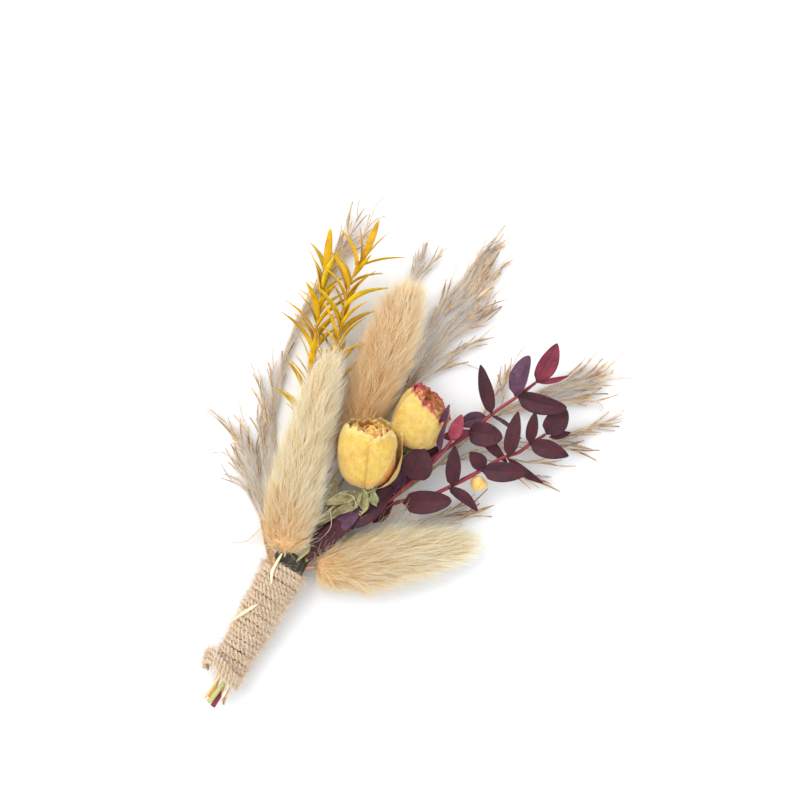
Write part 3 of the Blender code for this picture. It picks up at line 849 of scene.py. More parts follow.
# %% Two-ply tree
ply_tree, w, taken, end = growth_tree("two_ply_twine", [
    ("Ply Radius", "float", 0.0004), ("Ply Offset", "float", 0.00036), ("Twist Length", "float", 0.0026),
    ("Step", "float", 0.00035), ("Unevenness", "float", 0.25), ("Finish", "material", None),
])
path = w.add("GeometryNodeResampleCurve", {"mode": "LENGTH"}, Curve=taken["Geometry"],
             Length=taken["Step"]).outputs[0]
run = w.add("GeometryNodeSplineParameter").outputs["Length"]
turned_by = w.times(w.math("DIVIDE", run, taken["Twist Length"]), 2 * math.pi)
path = w.add("GeometryNodeSetCurveTilt", Curve=path, Tilt=turned_by).outputs[0]
path = w.store(path, "run", run)
path = w.store(path, "sweep", w.add("GeometryNodeInputTangent").outputs[0], "FLOAT_VECTOR")
ring = w.add("GeometryNodeCurvePrimitiveCircle", Resolution=9, Radius=taken["Ply Radius"]).outputs[0]
shifted = w.add("ShaderNodeCombineXYZ", X=taken["Ply Offset"]).outputs[0]
pair = w.add("GeometryNodeJoinGeometry")
for way in (1.0, -1.0):
    moved = w.add("GeometryNodeTransform", Geometry=ring, Translation=w.scaled(shifted, way)).outputs[0]
    w.link(moved, pair.inputs[0])
section = w.store(pair.outputs[0], "section", w.add("GeometryNodeInputPosition").outputs[0], "FLOAT_VECTOR")
swell = w.noise(w.add("ShaderNodeCombineXYZ", X=run).outputs[0], 650.0, 2.0)
thick = w.more(1.0, w.times(w.less(swell, 0.5), taken["Unevenness"]))
w.deliver(w.swept(path, section, thick), taken["Finish"], end)
print("tree:", ply_tree.name)


def path_object(name, routes, radii=None):
    """Routes in millimetres as one curve object in the frame. radii gives one list for each route."""
    data = bpy.data.curves.new(name, "CURVE")
    data.dimensions = "3D"
    for number, route in enumerate(routes):
        spline = data.splines.new("POLY")
        spline.points.add(len(route) - 1)
        for i, (knot, point) in enumerate(zip(spline.points, route)):
            knot.co = (*at(point), 1.0)
            knot.radius = along(radii[number], i / max(len(route) - 1, 1)) if radii else 1.0
    return put_in_scene(name, data)


# %% Jute finish
jute, wire, shader = new_finish("jute", 0.95, sheen=0.15)
lay = wire.stretch(wire.carried("section"), (7000.0, 7000.0, 7000.0))
run = wire.times(wire.attribute("run"), 620.0)
along_ply = wire.add("ShaderNodeCombineXYZ", Z=run).outputs[0]
fibres = wire.vector("ADD", lay, along_ply)
streak = mottled(wire, fibres, 1.0, (246, 233, 214), (190, 156, 120), 1.3)
# Painted shade: where the two plies meet, near the middle of the pair, the colour turns to a darker brown, as
# in shadow.
section = wire.carried("section")
depth = wire.add("ShaderNodeVectorMath", {"operation": "LENGTH"}, i0=section).outputs["Value"]
groove = wire.ramp(depth, 0.00012, 0.00052)
patches = wire.ramp(wire.noise(wire.place(), 330.0, 2.0), 0.36, 0.66)
warm = wire.blend(patches, (0.97, 0.90, 0.80, 1), (1, 1, 1, 1))
tinted = wire.blend(1.0, streak["Colour"], warm, "MULTIPLY")
colour_by(wire, shader, wire.blend(groove, paint(156, 116, 78), tinted))
bump(wire, shader, streak["Height"], 0.9, 0.00025)

stray, wire, shader = new_finish("stray_jute", 0.9, sheen=0.2)
colour_by(wire, shader, wire.blend(wire.ramp(wire.attribute("tone"), 0.1, 0.9), paint(204, 168, 126),
                                   paint(252, 238, 214)))
print("jute finishes are ready")

# %% The winding
STEPS_PER_TURN = 36
HITCH = [
    (-33.5, 4.7, 170), (-34.4, 5.4, 182), (-34.6, 6.6, 186), (-33.4, 7.2, 176), (-32.3, 6.8, 160),
    (-32.2, 6.3, 136),
    (-33.0, 6.1, 110), (-34.0, 6.0, 85), (-34.8, 5.8, 60), (-35.2, 5.3, 34), (-35.0, 4.4, 8),
    (-34.2, 3.4, -8),
]


def winding():
    """Down the stems turn by turn, each a little out of line with the last, then the hitch."""
    route = []
    lay = WRAP_TOP_RADIUS - TWINE_DIAMETER / 2
    steps = TWINE_TURNS * STEPS_PER_TURN
    for step in range(steps + 1):
        share = step / steps
        y = -WRAP_LENGTH * share
        angle = 162 - 360 * step / STEPS_PER_TURN
        turn = step / STEPS_PER_TURN
        sway = 0.7 * noise.noise(Vector((turn * 0.9, 0.5, 3.0))) * min(share * 20, (1 - share) * 20, 1)
        pinch = 0.45 * noise.noise(Vector((turn * 1.7, 4.5, 1.0)))
        low_side = max(-math.sin(math.radians(angle)), 0)
        radius = lay - (WRAP_TOP_RADIUS - wrap_radius(y)) + pinch * (1 - low_side) - 0.12 * low_side
        route.append(bundle_point(y + sway, radius, angle))
    return route + smooth([bundle_point(*knot) for knot in HITCH], 8)


def second_strand(lift, shift, turn):
    """The hitch goes round twice more, beside itself."""
    knots = [bundle_point(y + shift, radius + lift, angle + turn) for y, radius, angle in HITCH[1:]]
    return smooth(knots, 8)


twine_path = path_object("twine_path", [winding(), second_strand(0.3, 1.35, 3),
                                        second_strand(-0.35, -1.3, -5)])
twine_sizes = {"Ply_Radius": 0.47 * MM, "Ply_Offset": 0.39 * MM, "Twist_Length": 2.7 * MM, "Step": 0.36 * MM}
twine = grow("twine_wrap", twine_path, ply_tree, Unevenness=0.5, Finish=jute, **twine_sizes)
for vertex in twine.data.vertices:
    vertex.co.z = max(vertex.co.z, 0.0)
twine_points = [vertex.co / MM + CENTRE for vertex in twine.data.vertices]
outer = []
for point in twine_points:
    middle = bundle_point(max(min(point.y, 0), -WRAP_LENGTH), 0, 0)
    away = math.hypot(point.x - middle.x, point.z - middle.z)
    outer.append(1.0 if away > wrap_radius(min(point.y, 0)) - 0.75 and point.z > 1.2 else 0.0)
carry(twine.data, "growth", outer)
carry(twine.data, "lengthen", [1.0] * len(outer))
fuzz = hair("twine_stray_fibres", twine, stray, 1.4, 3.6, 0.55, 0.8, 0.6, 0.036, 21, 5, 0.8)
keep(twine, "jute_twine", "twine_wrap")
keep(fuzz, "jute_twine")
felt = hair("twine_felted_fibres", twine, stray, 2.6, 2.4, 0.16, 0.45, 0.75, 0.034, 23, 4, 0.7)
keep(felt, "jute_twine")

# %% [markdown]
# ## Stems, tape and straw
# Under the twine a dark, stretchy floral tape holds the stems, and it shows in folds above the top turn.
# Each stem runs the whole way: cut end, through the wrap, then out to its own head. They are tubes that
# follow the frame's routes, with slight bumps, a fibre pattern that runs along them, and a paler pith on
# the cut.
# %% Stem finishes


def stem_finish(name, light, dark, pith, rough=0.6):
    """Fine lines along the stem, uneven colour, and pith on the cut end."""
    made, wire, shader = new_finish(name, rough, coat=0.05)
    flow = wire.stretch(wire.carried("around"), (5.0, 5.0, 9.0))
    lines = mottled(wire, flow, 1.6, light, dark, 1.2)
    colour_by(wire, shader, wire.blend(wire.attribute("cut"), lines["Colour"], paint(*pith)))
    bump(wire, shader, lines["Height"], 0.5, 0.00015)
    return made


green_stem = stem_finish("green_stem", (198, 196, 128), (140, 140, 72), (236, 226, 178))
pale_green_stem = stem_finish("pale_green_stem", (206, 204, 134), (150, 156, 88), (236, 230, 176))
straw_stem = stem_finish("straw_stem", (236, 214, 160), (190, 150, 92), (240, 226, 190))
salmon_stem = stem_finish("salmon_stem", (232, 172, 132), (192, 118, 84), (236, 206, 170))
red_stem = stem_finish("red_stem", (160, 50, 60), (92, 24, 36), (214, 160, 120))
ochre_stem = stem_finish("ochre_stem", (226, 176, 92), (172, 118, 48), (240, 210, 146))
reed_stem = stem_finish("reed_stem", (206, 174, 122), (146, 108, 66), (230, 208, 166))
print("stem finishes are ready")

# %% Stem routes
BUNDLE_ROOM = 2.57                    # from the outside of the twine to the middle of an outer stem


def slot_point(ring, angle, y):
    """Where a stem of the outer or inner ring passes at this distance along the bundle."""
    room = wrap_radius(min(y, 0.0)) - BUNDLE_ROOM
    return bundle_point(y, room if ring == "outer" else room * 0.47, angle)


def stem_route(ring, angle, cut, beyond, splay=0.18):
    """A stem from its cut end, straight through the wrap, then out along its own way."""
    low = slot_point(ring, angle, -WRAP_LENGTH)
    end = low + Vector((-cut - WRAP_LENGTH, 0, 0)) * splay
    end.y = cut
    end.z = max(low.z - 0.04 * (-cut - WRAP_LENGTH), 0.8)
    inside = [slot_point(ring, angle, y) for y in (-WRAP_LENGTH, -16.0, TAPE_TOP + 0.4)]
    start = [end + (low - end) * step / 6 for step in range(6)]
    middle = [inside[0] + (inside[1] - inside[0]) * step / 4 for step in range(4)]
    middle += [inside[1] + (inside[2] - inside[1]) * step / 4 for step in range(4)]
    return start + middle + smooth([inside[2], *beyond], 6)


def stem(name, ring, angle, cut, beyond, finish, slot, far=STEM_RADIUS, near=STEM_RADIUS, tip=0.7,
         splay=0.18):
    """A stem that narrows towards its head. near is its radius at the cut end."""
    route = stem_route(ring, angle, cut, beyond, splay)
    free = (-cut - WRAP_LENGTH) / 2
    total = len(route) - 1

    def radius_of(share):
        if share < 6 / total:
            return near + (STEM_RADIUS - near) * (share * total / 6) ** 2
        if share < 14 / total:
            return STEM_RADIUS
        rest = (share - 14 / total) / (1 - 14 / total)
        knot = 1 + 0.22 * max(0.0, math.sin(rest * 21 + angle)) ** 12
        return (STEM_RADIUS + (far - STEM_RADIUS) * min(rest * 3, 1)) * (1 + (tip - 1) * rest ** 2) * knot

    made = tube(name, route, radius_of, finish, sides=12, dent=0.10, seed=angle * 0.1 + free)
    keep(made, slot, name)


EUCALYPTUS_HIGH = [
    (3.4, 8, 4.6), (6.3, 19.8, 3.8), (12.4, 32.7, 4.6), (20, 48.9, 7.4), (24.9, 58.9, 8.8),
    (28.4, 68.4, 9.6), (31.9, 76.1, 10.2), (34.8, 83, 11),
]
EUCALYPTUS_LOW = [
    (4.6, 6, 4.6), (7.2, 14.1, 5), (13.5, 25.8, 5.4), (17, 31.9, 6.4), (25, 39.4, 8),
    (28.2, 43.6, 8.6), (33.9, 52.8, 9.3), (37.1, 58.7, 9.6), (40.7, 62.9, 10), (42.3, 66.5, 10.3),
    (44.8, 71.4, 10.8),
]
EUCALYPTUS_MID = [
    (4.2, 10, 8.4), (9.4, 22, 8), (14.5, 29.6, 8), (17.2, 36.2, 8.8), (20.1, 44.9, 10.2),
    (22, 52, 12), (22.3, 56, 12.9),
]
stem("bunny_tail_left_stem", "outer", 108, -43.4, [(-2.6, 4.3, 11.2)], straw_stem, "straw", splay=-0.06)
stem("bunny_tail_back_stem", "inner", 198, -35.5, [
    (-1.8, 12, 4.6), (-1.9, 30, 4.2), (-2.5, 40, 4.4), (-3, 47.6, 7.15)], straw_stem, "straw")
stem("bunny_tail_right_stem", "outer", 0, -36.5, [(7.1, 4.9, 6.7)], salmon_stem, "straw", 0.55)
stem("rose_front_stem", "outer", 72, -38.0, [
    (4, 10, 10.6), (7.4, 19, 10.3), (9.4, 25, 9.9), (10.2, 28.6, 9.9)], green_stem, "green_stem", 0.7,
     tip=1)
stem("rose_back_stem", "outer", 36, -44.0, [
    (5.4, 10, 6.7), (8.8, 22, 5.8), (11.4, 36, 4.7), (12.6, 45.2, 6.5),
], pale_green_stem, "green_stem", 0.6, CUT_RADIUS, 1, -0.16)
stem("eucalyptus_high_stem", "inner", -18, -37.0, EUCALYPTUS_HIGH, red_stem, "red_stem", 0.62)
stem("eucalyptus_low_stem", "outer", -36, -44.6, EUCALYPTUS_LOW, red_stem, "red_stem", 0.62, CUT_RADIUS,
     splay=-0.02)
stem("eucalyptus_mid_stem", "inner", 54, -36.0, EUCALYPTUS_MID, red_stem, "red_stem", 0.6)

# %% Floral tape
tape, wire, shader = new_finish("floral_tape", 0.7, coat=0.1)
flow = wire.stretch(wire.carried("share"), (60.0, 6.0, 1.0))
folds = mottled(wire, flow, 1.0, (74, 66, 44), (24, 23, 16), 1.3)
colour_by(wire, shader, folds["Colour"])
bump(wire, shader, folds["Height"], 0.8, 0.0004)


def tape_shape(u, v):
    """Round the bundle with u, from its low edge to a ragged top edge with v."""
    angle = 360 * u
    turn = math.radians(angle)
    around = Vector((math.cos(turn), math.sin(turn), 0))
    top = 4.6 + 1.6 * noise.noise(around * 1.6 + Vector((0, 0, 5)))
    y = -32.0 + v * (32.0 + top)
    beyond = max(y, 0.0)
    fold = 0.20 * noise.noise(around * 5.5 + Vector((0, 0, y * 0.05))) * min(1, v * 4)
    fold += 0.10 * math.sin(angle * 0.31 + 3 * noise.noise(around + Vector((0, 0, 9)))) * min(beyond, 1.5)
    radius = wrap_radius(min(y, 0.0)) - TWINE_DIAMETER - 0.45 + fold - 0.06 * beyond
    return bundle_point(y, radius, angle)


def sleeve(name, shape_of, around, up, thickness, finish):
    """A closed sleeve: an outer and an inner wall joined at both ends."""
    points, shares, faces = [], [], []
    for side in (0, 1):
        for j in range(up + 1):
            for i in range(around):
                here = Vector(shape_of(i / around, j / up))
                inward = bundle_point(here.y, 0, 0) - here
                points.append(at(here + inward.normalized() * thickness * side))
                shares.append((i / around, j / up, side))
    other = around * (up + 1)
    for j in range(up):
        for i in range(around):
            n = (i + 1) % around
            face = (j * around + i, j * around + n, (j + 1) * around + n, (j + 1) * around + i)
            faces.append(face[::-1])
            faces.append(tuple(other + corner for corner in face))
    for i in range(around):
        n = (i + 1) % around
        faces.append((i, n, other + n, other + i))
        top = up * around
        faces.append((top + n, top + i, other + top + i, other + top + n))
    return to_object(name, points, faces, finish, {"share": shares})


keep(sleeve("floral_tape", tape_shape, 96, 60, 0.25, tape), "floral_tape", "floral_tape")

# %% Straw slivers
straw, wire, shader = new_finish("straw", 0.55, coat=0.1)
flow = wire.stretch(wire.carried("around"), (3.0, 3.0, 12.0))
lines = mottled(wire, flow, 2.0, (255, 246, 214), (222, 196, 140), 1.0)
colour_by(wire, shader, lines["Colour"])
bump(wire, shader, lines["Height"], 0.4)
HIGH_STRAW = [(-2.7, 3.2, 13.5), bundle_point(-2.3, 7.05, 111), bundle_point(-5.7, 6.9, 98)]
LOW_STRAW = [bundle_point(-20.3, 6.05, 158), bundle_point(-15.9, 6.3, 121), bundle_point(-12.7, 6.5, 103)]
for name, knots in (("straw_sliver_high", HIGH_STRAW), ("straw_sliver_low", LOW_STRAW)):
    sliver = tube(name, smooth(knots, 12),
                  lambda share: 0.16 + 0.30 * math.sin(math.pi * min(share * 1.1, 1)) ** 0.7,
                  straw, sides=10, dent=0.12, flat=0.55, seed=2.0)
    keep(sliver, "straw", name)

# %% [markdown]
# ## Mini roses
# Two yellow buds dried half closed. A rose is built from its base up: a small calyx, outer petals that
# wrap round with one edge over the next, orange inner petals and a rolled heart. Each petal is a thin
# sheet with real thickness, bent over the cup's outline, then creased with noise in the mesh itself, and
# most of all along its torn, crimped rim. Which petal faces up is worked out from the bud's own tilt.
# %% Petal finishes


def petal_finish(name, light, middle, shade, rim):
    """Crepe petals: grain and fine creases, with painted shade towards the base and side edges, and a
    coloured rim.
    """
    made, wire, shader = new_finish(name, 0.62, sheen=0.25)
    place = wire.place()
    grain = mottled(wire, place, 520.0, light, middle, 1.15)
    crepe = use(wire, creases, Place=place, Scale=460.0)
    dots = use(wire, speckle, Place=place, Scale=4200.0, Amount=0.55)
    split = wire.parts(wire.carried("share"))
    # Painted shade: the colour turns to the shade colour towards the petal's base and its side edges, where
    # petals overlap; random patches and the speckle deepen it a little too.
    side = wire.math("ABSOLUTE", wire.less(split[0], 0.5))
    edge = wire.ramp(side, 0.40, 0.5)
    base = wire.less(1.0, wire.ramp(split[1], 0.0, 0.34))
    deeper = wire.math("MAXIMUM", wire.times(edge, 0.65), wire.times(base, 0.7))
    patchy = wire.ramp(wire.noise(place, 180.0, 3.0), 0.48, 0.72)
    deeper = wire.math("MAXIMUM", deeper, wire.times(patchy, 0.30))
    shaded = wire.blend(deeper, grain["Colour"], paint(*shade))
    shaded = wire.blend(wire.times(dots["Mask"], 0.35), shaded, paint(*shade))
    pale = wire.blend(wire.times(crepe["Ridge"], 0.30), shaded, paint(232, 206, 132))
    colour_by(wire, shader, wire.blend(wire.attribute("shade"), pale, paint(*rim)))
    height = wire.more(wire.times(crepe["Height"], 0.8), wire.times(dots["Height"], -0.12))
    bump(wire, shader, height, 0.75, 0.0006)
    return made


front_petal = petal_finish("front_petal", (212, 180, 76), (200, 156, 42), (182, 106, 16), (216, 188, 112))
back_petal = petal_finish("back_petal", (212, 184, 96), (202, 160, 54), (180, 114, 30), (186, 52, 68))
inner_orange = petal_finish("inner_orange", (232, 158, 40), (216, 118, 16), (176, 76, 8), (232, 190, 100))
inner_rosy = petal_finish("inner_rosy", (240, 188, 84), (228, 150, 54), (200, 96, 40), (200, 62, 78))
print("petal finishes are ready")

# %% Rose
ROSE_OUTLINE = [0.34, 0.74, 0.90, 0.97, 1.0, 1.01, 1.01, 1.0, 0.97, 0.92, 0.85]
PETAL_THICKNESS = 0.34


def bud(base, tip, radius):
    """A cup's own frame, with angle 0 turned up and positive angles towards the view's right."""
    base, tip = Vector(base), Vector(tip)
    axis = (tip - base).normalized()
    top = (back - axis * back.dot(axis)).normalized()
    side = axis.cross(top)
    if side.dot(RIGHT) < 0:
        side = -side
    return {"base": base, "axis": axis, "top": top, "side": side, "height": (tip - base).length,
            "radius": radius}


def cup_point(cup, angle, rise, reach):
    turn = math.radians(angle)
    outward = cup["top"] * math.cos(turn) + cup["side"] * math.sin(turn)
    return cup["base"] + cup["axis"] * rise * cup["height"] + outward * reach


def petal(name, cup, left, right, inset, rim, finish, seed, low=0.02, crimp=1.0, tuck=0.9, flare=0.0,
          rim_depth=0.07, across=44, up=36):
    """left and right are the side edges' angles at the base and at the rim. rim(angle) is the height of
    the top edge as a share of the cup, and flare turns the rim out."""
    def place(u, v):
        left_here = left[0] + (left[1] - left[0]) * v
        right_here = right[0] + (right[1] - right[0]) * v
        angle = left_here + (right_here - left_here) * u
        turn = math.radians(angle)
        key = Vector((math.cos(turn) * 2.1, math.sin(turn) * 2.1, v * 1.7 + seed))
        ragged = 0.050 * noise.noise(key * 1.9) + 0.030 * noise.noise(key * 5.1)
        corner = 0.10 * (abs(2 * u - 1) ** 3)
        top = rim(angle) + crimp * ragged - corner
        rise = low + v * (top - low)
        reach = along(ROSE_OUTLINE, rise) * cup["radius"] - inset - tuck * u
        near_rim = max(0.0, (v - 0.72) / 0.28)
        wave = 0.20 * noise.noise(key * 1.6) + 0.07 * noise.noise(key * 4.7)
        wave += crimp * near_rim ** 1.6 * (0.75 * noise.noise(key * 2.9) + 0.38 * noise.noise(key * 7.5))
        long_fold = 0.12 * noise.noise(Vector((angle * 0.13, seed * 3.1, v * 0.6)))
        reach += wave + long_fold + flare * near_rim ** 2
        return cup_point(cup, angle, rise, max(reach, 0.3))

    def rim_shade(u, v):
        ripple = 0.5 + 0.5 * noise.noise(Vector((u * 9, seed, 2.0)))
        return min(1.0, max(0.0, (v - 1 + rim_depth * (0.6 + ripple)) / (rim_depth * 0.5)))

    return sheet_solid(name, place, across, up, PETAL_THICKNESS, finish, extra=rim_shade)


def level(height, bow=0.0, slant=0.0):
    """A rim height that may bow up in the middle and slant down towards positive angles."""
    return lambda angle: height + bow * math.cos(math.radians(angle)) - slant * math.sin(math.radians(angle))


def outer_petals(rose, cup, rows, finish, seeds, rim_depth=0.07):
    """Each row is (left edge, right edge, inset, rim, crimp, tuck, flare). seeds is (first, step)."""
    for number, (left, right, inset, rim, crimp, tuck, flare) in enumerate(rows):
        name = f"{rose}_outer_petal_{number + 1}"
        made = petal(name, cup, left, right, inset, rim, finish, seeds[0] + number * seeds[1], crimp=crimp,
                     tuck=tuck, flare=flare, rim_depth=rim_depth)
        keep(made, "yellow_petal", name)


def even_petal(name, cup, left, width, inset, rim, finish, seed, **shape):
    """A petal whose side edges rise straight, width degrees apart."""
    return petal(name, cup, (left, left), (left + width, left + width), inset, rim, finish, seed, **shape)


def inner_petals(rose, cup, rows, slant, finish, seeds, **shape):
    """Each row is (left, width, inset, height). seeds is (first, step)."""
    for number, (left, width, inset, height) in enumerate(rows):
        name = f"{rose}_inner_petal_{number + 1}"
        made = even_petal(name, cup, left, width, inset, level(height, 0.0, slant), finish,
                          seeds[0] + number * seeds[1], low=0.10, **shape)
        keep(made, "orange_petal", name)


def rolled_heart(rose, cup, roll, rows, slant, finish, seeds, **shape):
    """The roll, with short petals folded round it. Each row is (left, inset, height)."""
    rolls = [roll]
    for number, (left, inset, height) in enumerate(rows):
        rolls.append(even_petal("fold", cup, left, 120, inset, level(height, 0.0, slant), finish,
                                seeds[0] + number * seeds[1], low=0.3, across=26, up=20, **shape))
    keep(joined(f"{rose}_heart", rolls), "orange_petal", f"{rose}_heart")


def heart(name, cup, radius, low, top, turns, finish, seed):
    """The rolled middle: one long petal wound into a loose spiral."""
    def place(u, v):
        angle = 360 * turns * u
        key = Vector((u * turns * 5, v * 2.0, seed))
        rise = low + v * (top - low) + 0.10 * v * noise.noise(key * 1.3)
        crumple = 0.6 * noise.noise(key * 0.9) + 0.3 * noise.noise(key * 2.6)
        reach = radius * (0.16 + 0.84 * u) * (1 - 0.15 * v) + v * crumple
        return cup_point(cup, angle, rise, reach)

    def rim_shade(u, v):
        return min(1.0, max(0.0, (v - 0.95) / 0.04))

    return sheet_solid(name, place, 90, 12, 0.28, finish, extra=rim_shade)


calyx_finish, wire, shader = new_finish("dried_calyx", 0.75, sheen=0.2)
place = wire.place()
dry = mottled(wire, place, 700.0, (184, 184, 132), (104, 110, 64), 1.2)
brown = wire.ramp(wire.noise(place, 420.0, 2.0), 0.5, 0.66)
colour_by(wire, shader, wire.blend(brown, dry["Colour"], paint(168, 130, 84)))
bump(wire, shader, dry["Height"], 0.7, 0.0003)


def calyx(name, cup, sepals, seed):
    """A small receptacle with thin, crumpled sepals. Each sepal is (angle, length, width, stand, droop)."""
    below = [cup["base"] + cup["axis"] * z for z in (-3.3, -2.7, -2.0, -1.3, -0.6, 0.1)]
    girth = [0.9, 1.35, 2.0, 2.35, 2.3, 1.9]
    bodies = [tube(f"{name}_cup", smooth(below, 3), lambda share: along(girth, share), calyx_finish, 24, 0.16,
                   seed=seed, ends="plain")]
    for number, (angle, length, width, stand, droop) in enumerate(sepals):
        turn = math.radians(angle)
        outward = cup["top"] * math.cos(turn) + cup["side"] * math.sin(turn)
        across = cup["axis"].cross(outward).normalized()
        start = cup["base"] - cup["axis"] * 1.2 + outward * 1.9

        def place_on(u, v, outward=outward, across=across, start=start, length=length, width=width,
                     stand=stand, droop=droop, number=number):
            swell = math.sin(math.pi * min(v * 0.92 + 0.05, 1)) ** 0.8
            half = width * (0.30 + 0.95 * swell) * (1 - v ** 4) / 2 + 0.05
            curl = v * v * droop
            sunk = length * v * (1 - stand * 0.5) - curl
            place = start + outward * (stand * length * v) - cup["axis"] * sunk
            crumple = noise.noise(Vector((u * 2.2 + number * 3, v * 4.5, seed))) * 0.75 * v
            crumple += noise.noise(Vector((u * 6, v * 11, seed + number))) * 0.25
            cup_in = 0.5 * (2 * u - 1) ** 2
            place += across * ((2 * u - 1) * half) + outward * (crumple + cup_in)
            place += Vector((0, 0, 0.35)) * math.sin(v * 5 + number)
            return place

        bodies.append(sheet_solid(f"{name}_sepal", place_on, 12, 24, 0.16, calyx_finish))
    return joined(name, bodies)


def hooked_sepal(name, knots, finish):
    return tube(name, smooth(knots, 6), lambda share: 0.42 * (1 - share) ** 0.5 + 0.10, finish, 8, 0.15,
                flat=0.45)


# %% The front rose
front = bud((8.6, 32.3, 11.7), (0.1, 47.8, 19.5), 9.4)


outer_petals("rose_front", front, [
    ((-6, -1), (6, 74), 0.0, level(0.96, -0.05), 1.0, 0.5, -0.9),
    ((-122, -116), (12, 10), 0.55, level(0.99, 0.0), 0.9, 0.3, -0.7),
    ((26, 96), (150, 168), 0.0, level(0.90, -0.02), 0.8, 1.2, 0.35),
    ((128, 130), (262, 268), 0.5, level(1.0, 0.03), 1.2, 0.5, -0.2),
], front_petal, (3.0, 4.7))
inner_petals("rose_front", front, [(-60, 210, 1.15, 0.90), (120, 215, 2.1, 0.97)], 0.0, inner_orange,
             (31.0, 5.3), crimp=1.5, tuck=1.1, flare=-1.0, rim_depth=0.05)
roll = heart("roll", front, 4.6, 0.30, 0.88, 2.4, inner_orange, 2.0)
rolled_heart("rose_front", front, roll, [(-40, 3.4, 0.95), (90, 3.7, 0.91), (215, 3.5, 0.94)], 0.0,
             inner_orange, (50.0, 3.1), crimp=1.7, tuck=0.8, flare=-0.6)
front_calyx = calyx("rose_front_calyx", front, [
    (-62, 10.4, 4.2, 0.50, 1.0), (-24, 8.2, 3.4, 0.34, 0.6), (34, 5.6, 2.6, 0.30, 1.2),
    (118, 4.6, 2.4, 0.55, 0.5),
    (205, 4.8, 2.6, 0.60, 0.5),
], 4.0)
hook = hooked_sepal("hook", [(7.4, 31.2, 14.6), (9.0, 30.2, 15.2), (10.6, 28.4, 14.8), (11.5, 26.6, 13.8),
                             (11.0, 25.0, 13.0),
                             (9.9, 24.9, 12.6)], calyx_finish)
keep(joined("rose_front_calyx", [front_calyx, hook]), "dried_calyx", "rose_front_calyx")

# %% The back rose
rear = bud((12.2, 48.8, 7.2), (10.8, 63.6, 14.2), 8.4)
outer_petals("rose_back", rear, [
    ((-62, -58), (72, 64), 0.0, level(0.99, -0.05, 0.22), 1.3, 0.7, -0.5),
    ((-170, -172), (-42, -44), 0.5, level(0.99, -0.04, 0.05), 1.2, 0.4, -0.9),
    ((52, 46), (168, 172), 0.5, level(0.93, -0.05, 0.12), 1.4, 0.8, 0.1),
    ((150, 150), (226, 224), 0.9, level(1.0, 0.0, 0.1), 1.2, 0.5, 0.2),
], back_petal, (71.0, 4.3), rim_depth=0.035)
inner_petals("rose_back", rear, [(-70, 200, 1.5, 0.86), (110, 200, 1.6, 0.95)], 0.12, inner_rosy,
             (91.0, 5.9), crimp=1.8, tuck=1.0, flare=-0.3, rim_depth=0.04)
roll = heart("roll", rear, 3.8, 0.30, 0.88, 2.2, inner_rosy, 6.0)
rolled_heart("rose_back", rear, roll, [(-20, 2.9, 0.94), (110, 3.1, 0.90), (230, 2.8, 0.96)], 0.1,
             inner_rosy, (110.0, 2.7), crimp=1.9, tuck=0.7, flare=-0.4, rim_depth=0.03)
keep(calyx("rose_back_calyx", rear, [
    (-50, 4.6, 2.2, 0.35, 0.4), (25, 4.8, 2.2, 0.25, 0.4), (100, 4.4, 2.0, 0.30, 0.4),
    (170, 4.0, 2.2, 0.3, 0.4),
    (240, 4.2, 2.2, 0.3, 0.4),
], 9.0), "dried_calyx", "rose_back_calyx")

# %% [markdown]
# ## Eucalyptus
# Three red stems carry dyed burgundy leaves. Every leaf lies in its own way, so each one is a sheet from
# its base to its tip: a pointed oval, folded a little at the midrib, arched, and slightly wavy at the
# edge. The material adds the midrib, side veins and a fine pale bloom.
# %% Leaf finishes


def leaf_finish(name, light, dark, vein, bloom, rough=0.62):
    """A satin dyed leaf: mottled, veined and dusted with bloom."""
    made, wire, shader = new_finish(name, rough, sheen=0.05, coat=0.04)
    place = wire.place()
    base = mottled(wire, place, 330.0, light, dark, 1.2)
    split = wire.parts(wire.carried("share"))
    side = wire.math("ABSOLUTE", wire.less(split[0], 0.5))
    shader.inputs["Specular IOR Level"].default_value = 0.3
    midrib = wire.less(1.0, wire.ramp(side, 0.012, 0.05))
    rows = wire.less(wire.times(split[1], 58.0), wire.times(side, 46.0))
    ribs = wire.ramp(wire.math("SINE", rows), 0.86, 1.0)
    veins = wire.math("MAXIMUM", wire.times(midrib, 0.26), wire.times(ribs, 0.16))
    dots = use(wire, speckle, Place=place, Scale=2500.0, Amount=0.42)
    veined = wire.blend(veins, base["Colour"], paint(*vein))
    rim = wire.times(wire.ramp(side, 0.46, 0.5), 0.3)
    rimmed = wire.blend(rim, veined, paint(*vein))
    colour_by(wire, shader, wire.blend(dots["Mask"], rimmed, paint(*bloom)))
    height = wire.less(wire.times(dots["Height"], 0.25), wire.times(veins, 0.6))
    bump(wire, shader, height, 0.5, 0.0002)
    wire.link(wire.more(wire.times(base["Height"], 0.35), rough - 0.16), shader.inputs["Roughness"])
    return made


burgundy_leaf = leaf_finish("burgundy_leaf", (72, 18, 32), (36, 7, 18), (92, 30, 44), (102, 54, 66))
reddish_leaf = leaf_finish("reddish_leaf", (126, 36, 56), (80, 18, 36), (148, 64, 76), (158, 90, 104))
purple_leaf = leaf_finish("purple_leaf", (90, 52, 76), (56, 28, 46), (106, 60, 76), (130, 98, 120))
pinkish_leaf = leaf_finish("pinkish_leaf", (158, 58, 76), (112, 32, 50), (176, 84, 92), (188, 116, 120))
print("leaf finishes are ready")

# %% Leaves
LEAF_THICKNESS = 0.26
STALK = 1.0                           # how far a leaf runs back to meet its stem


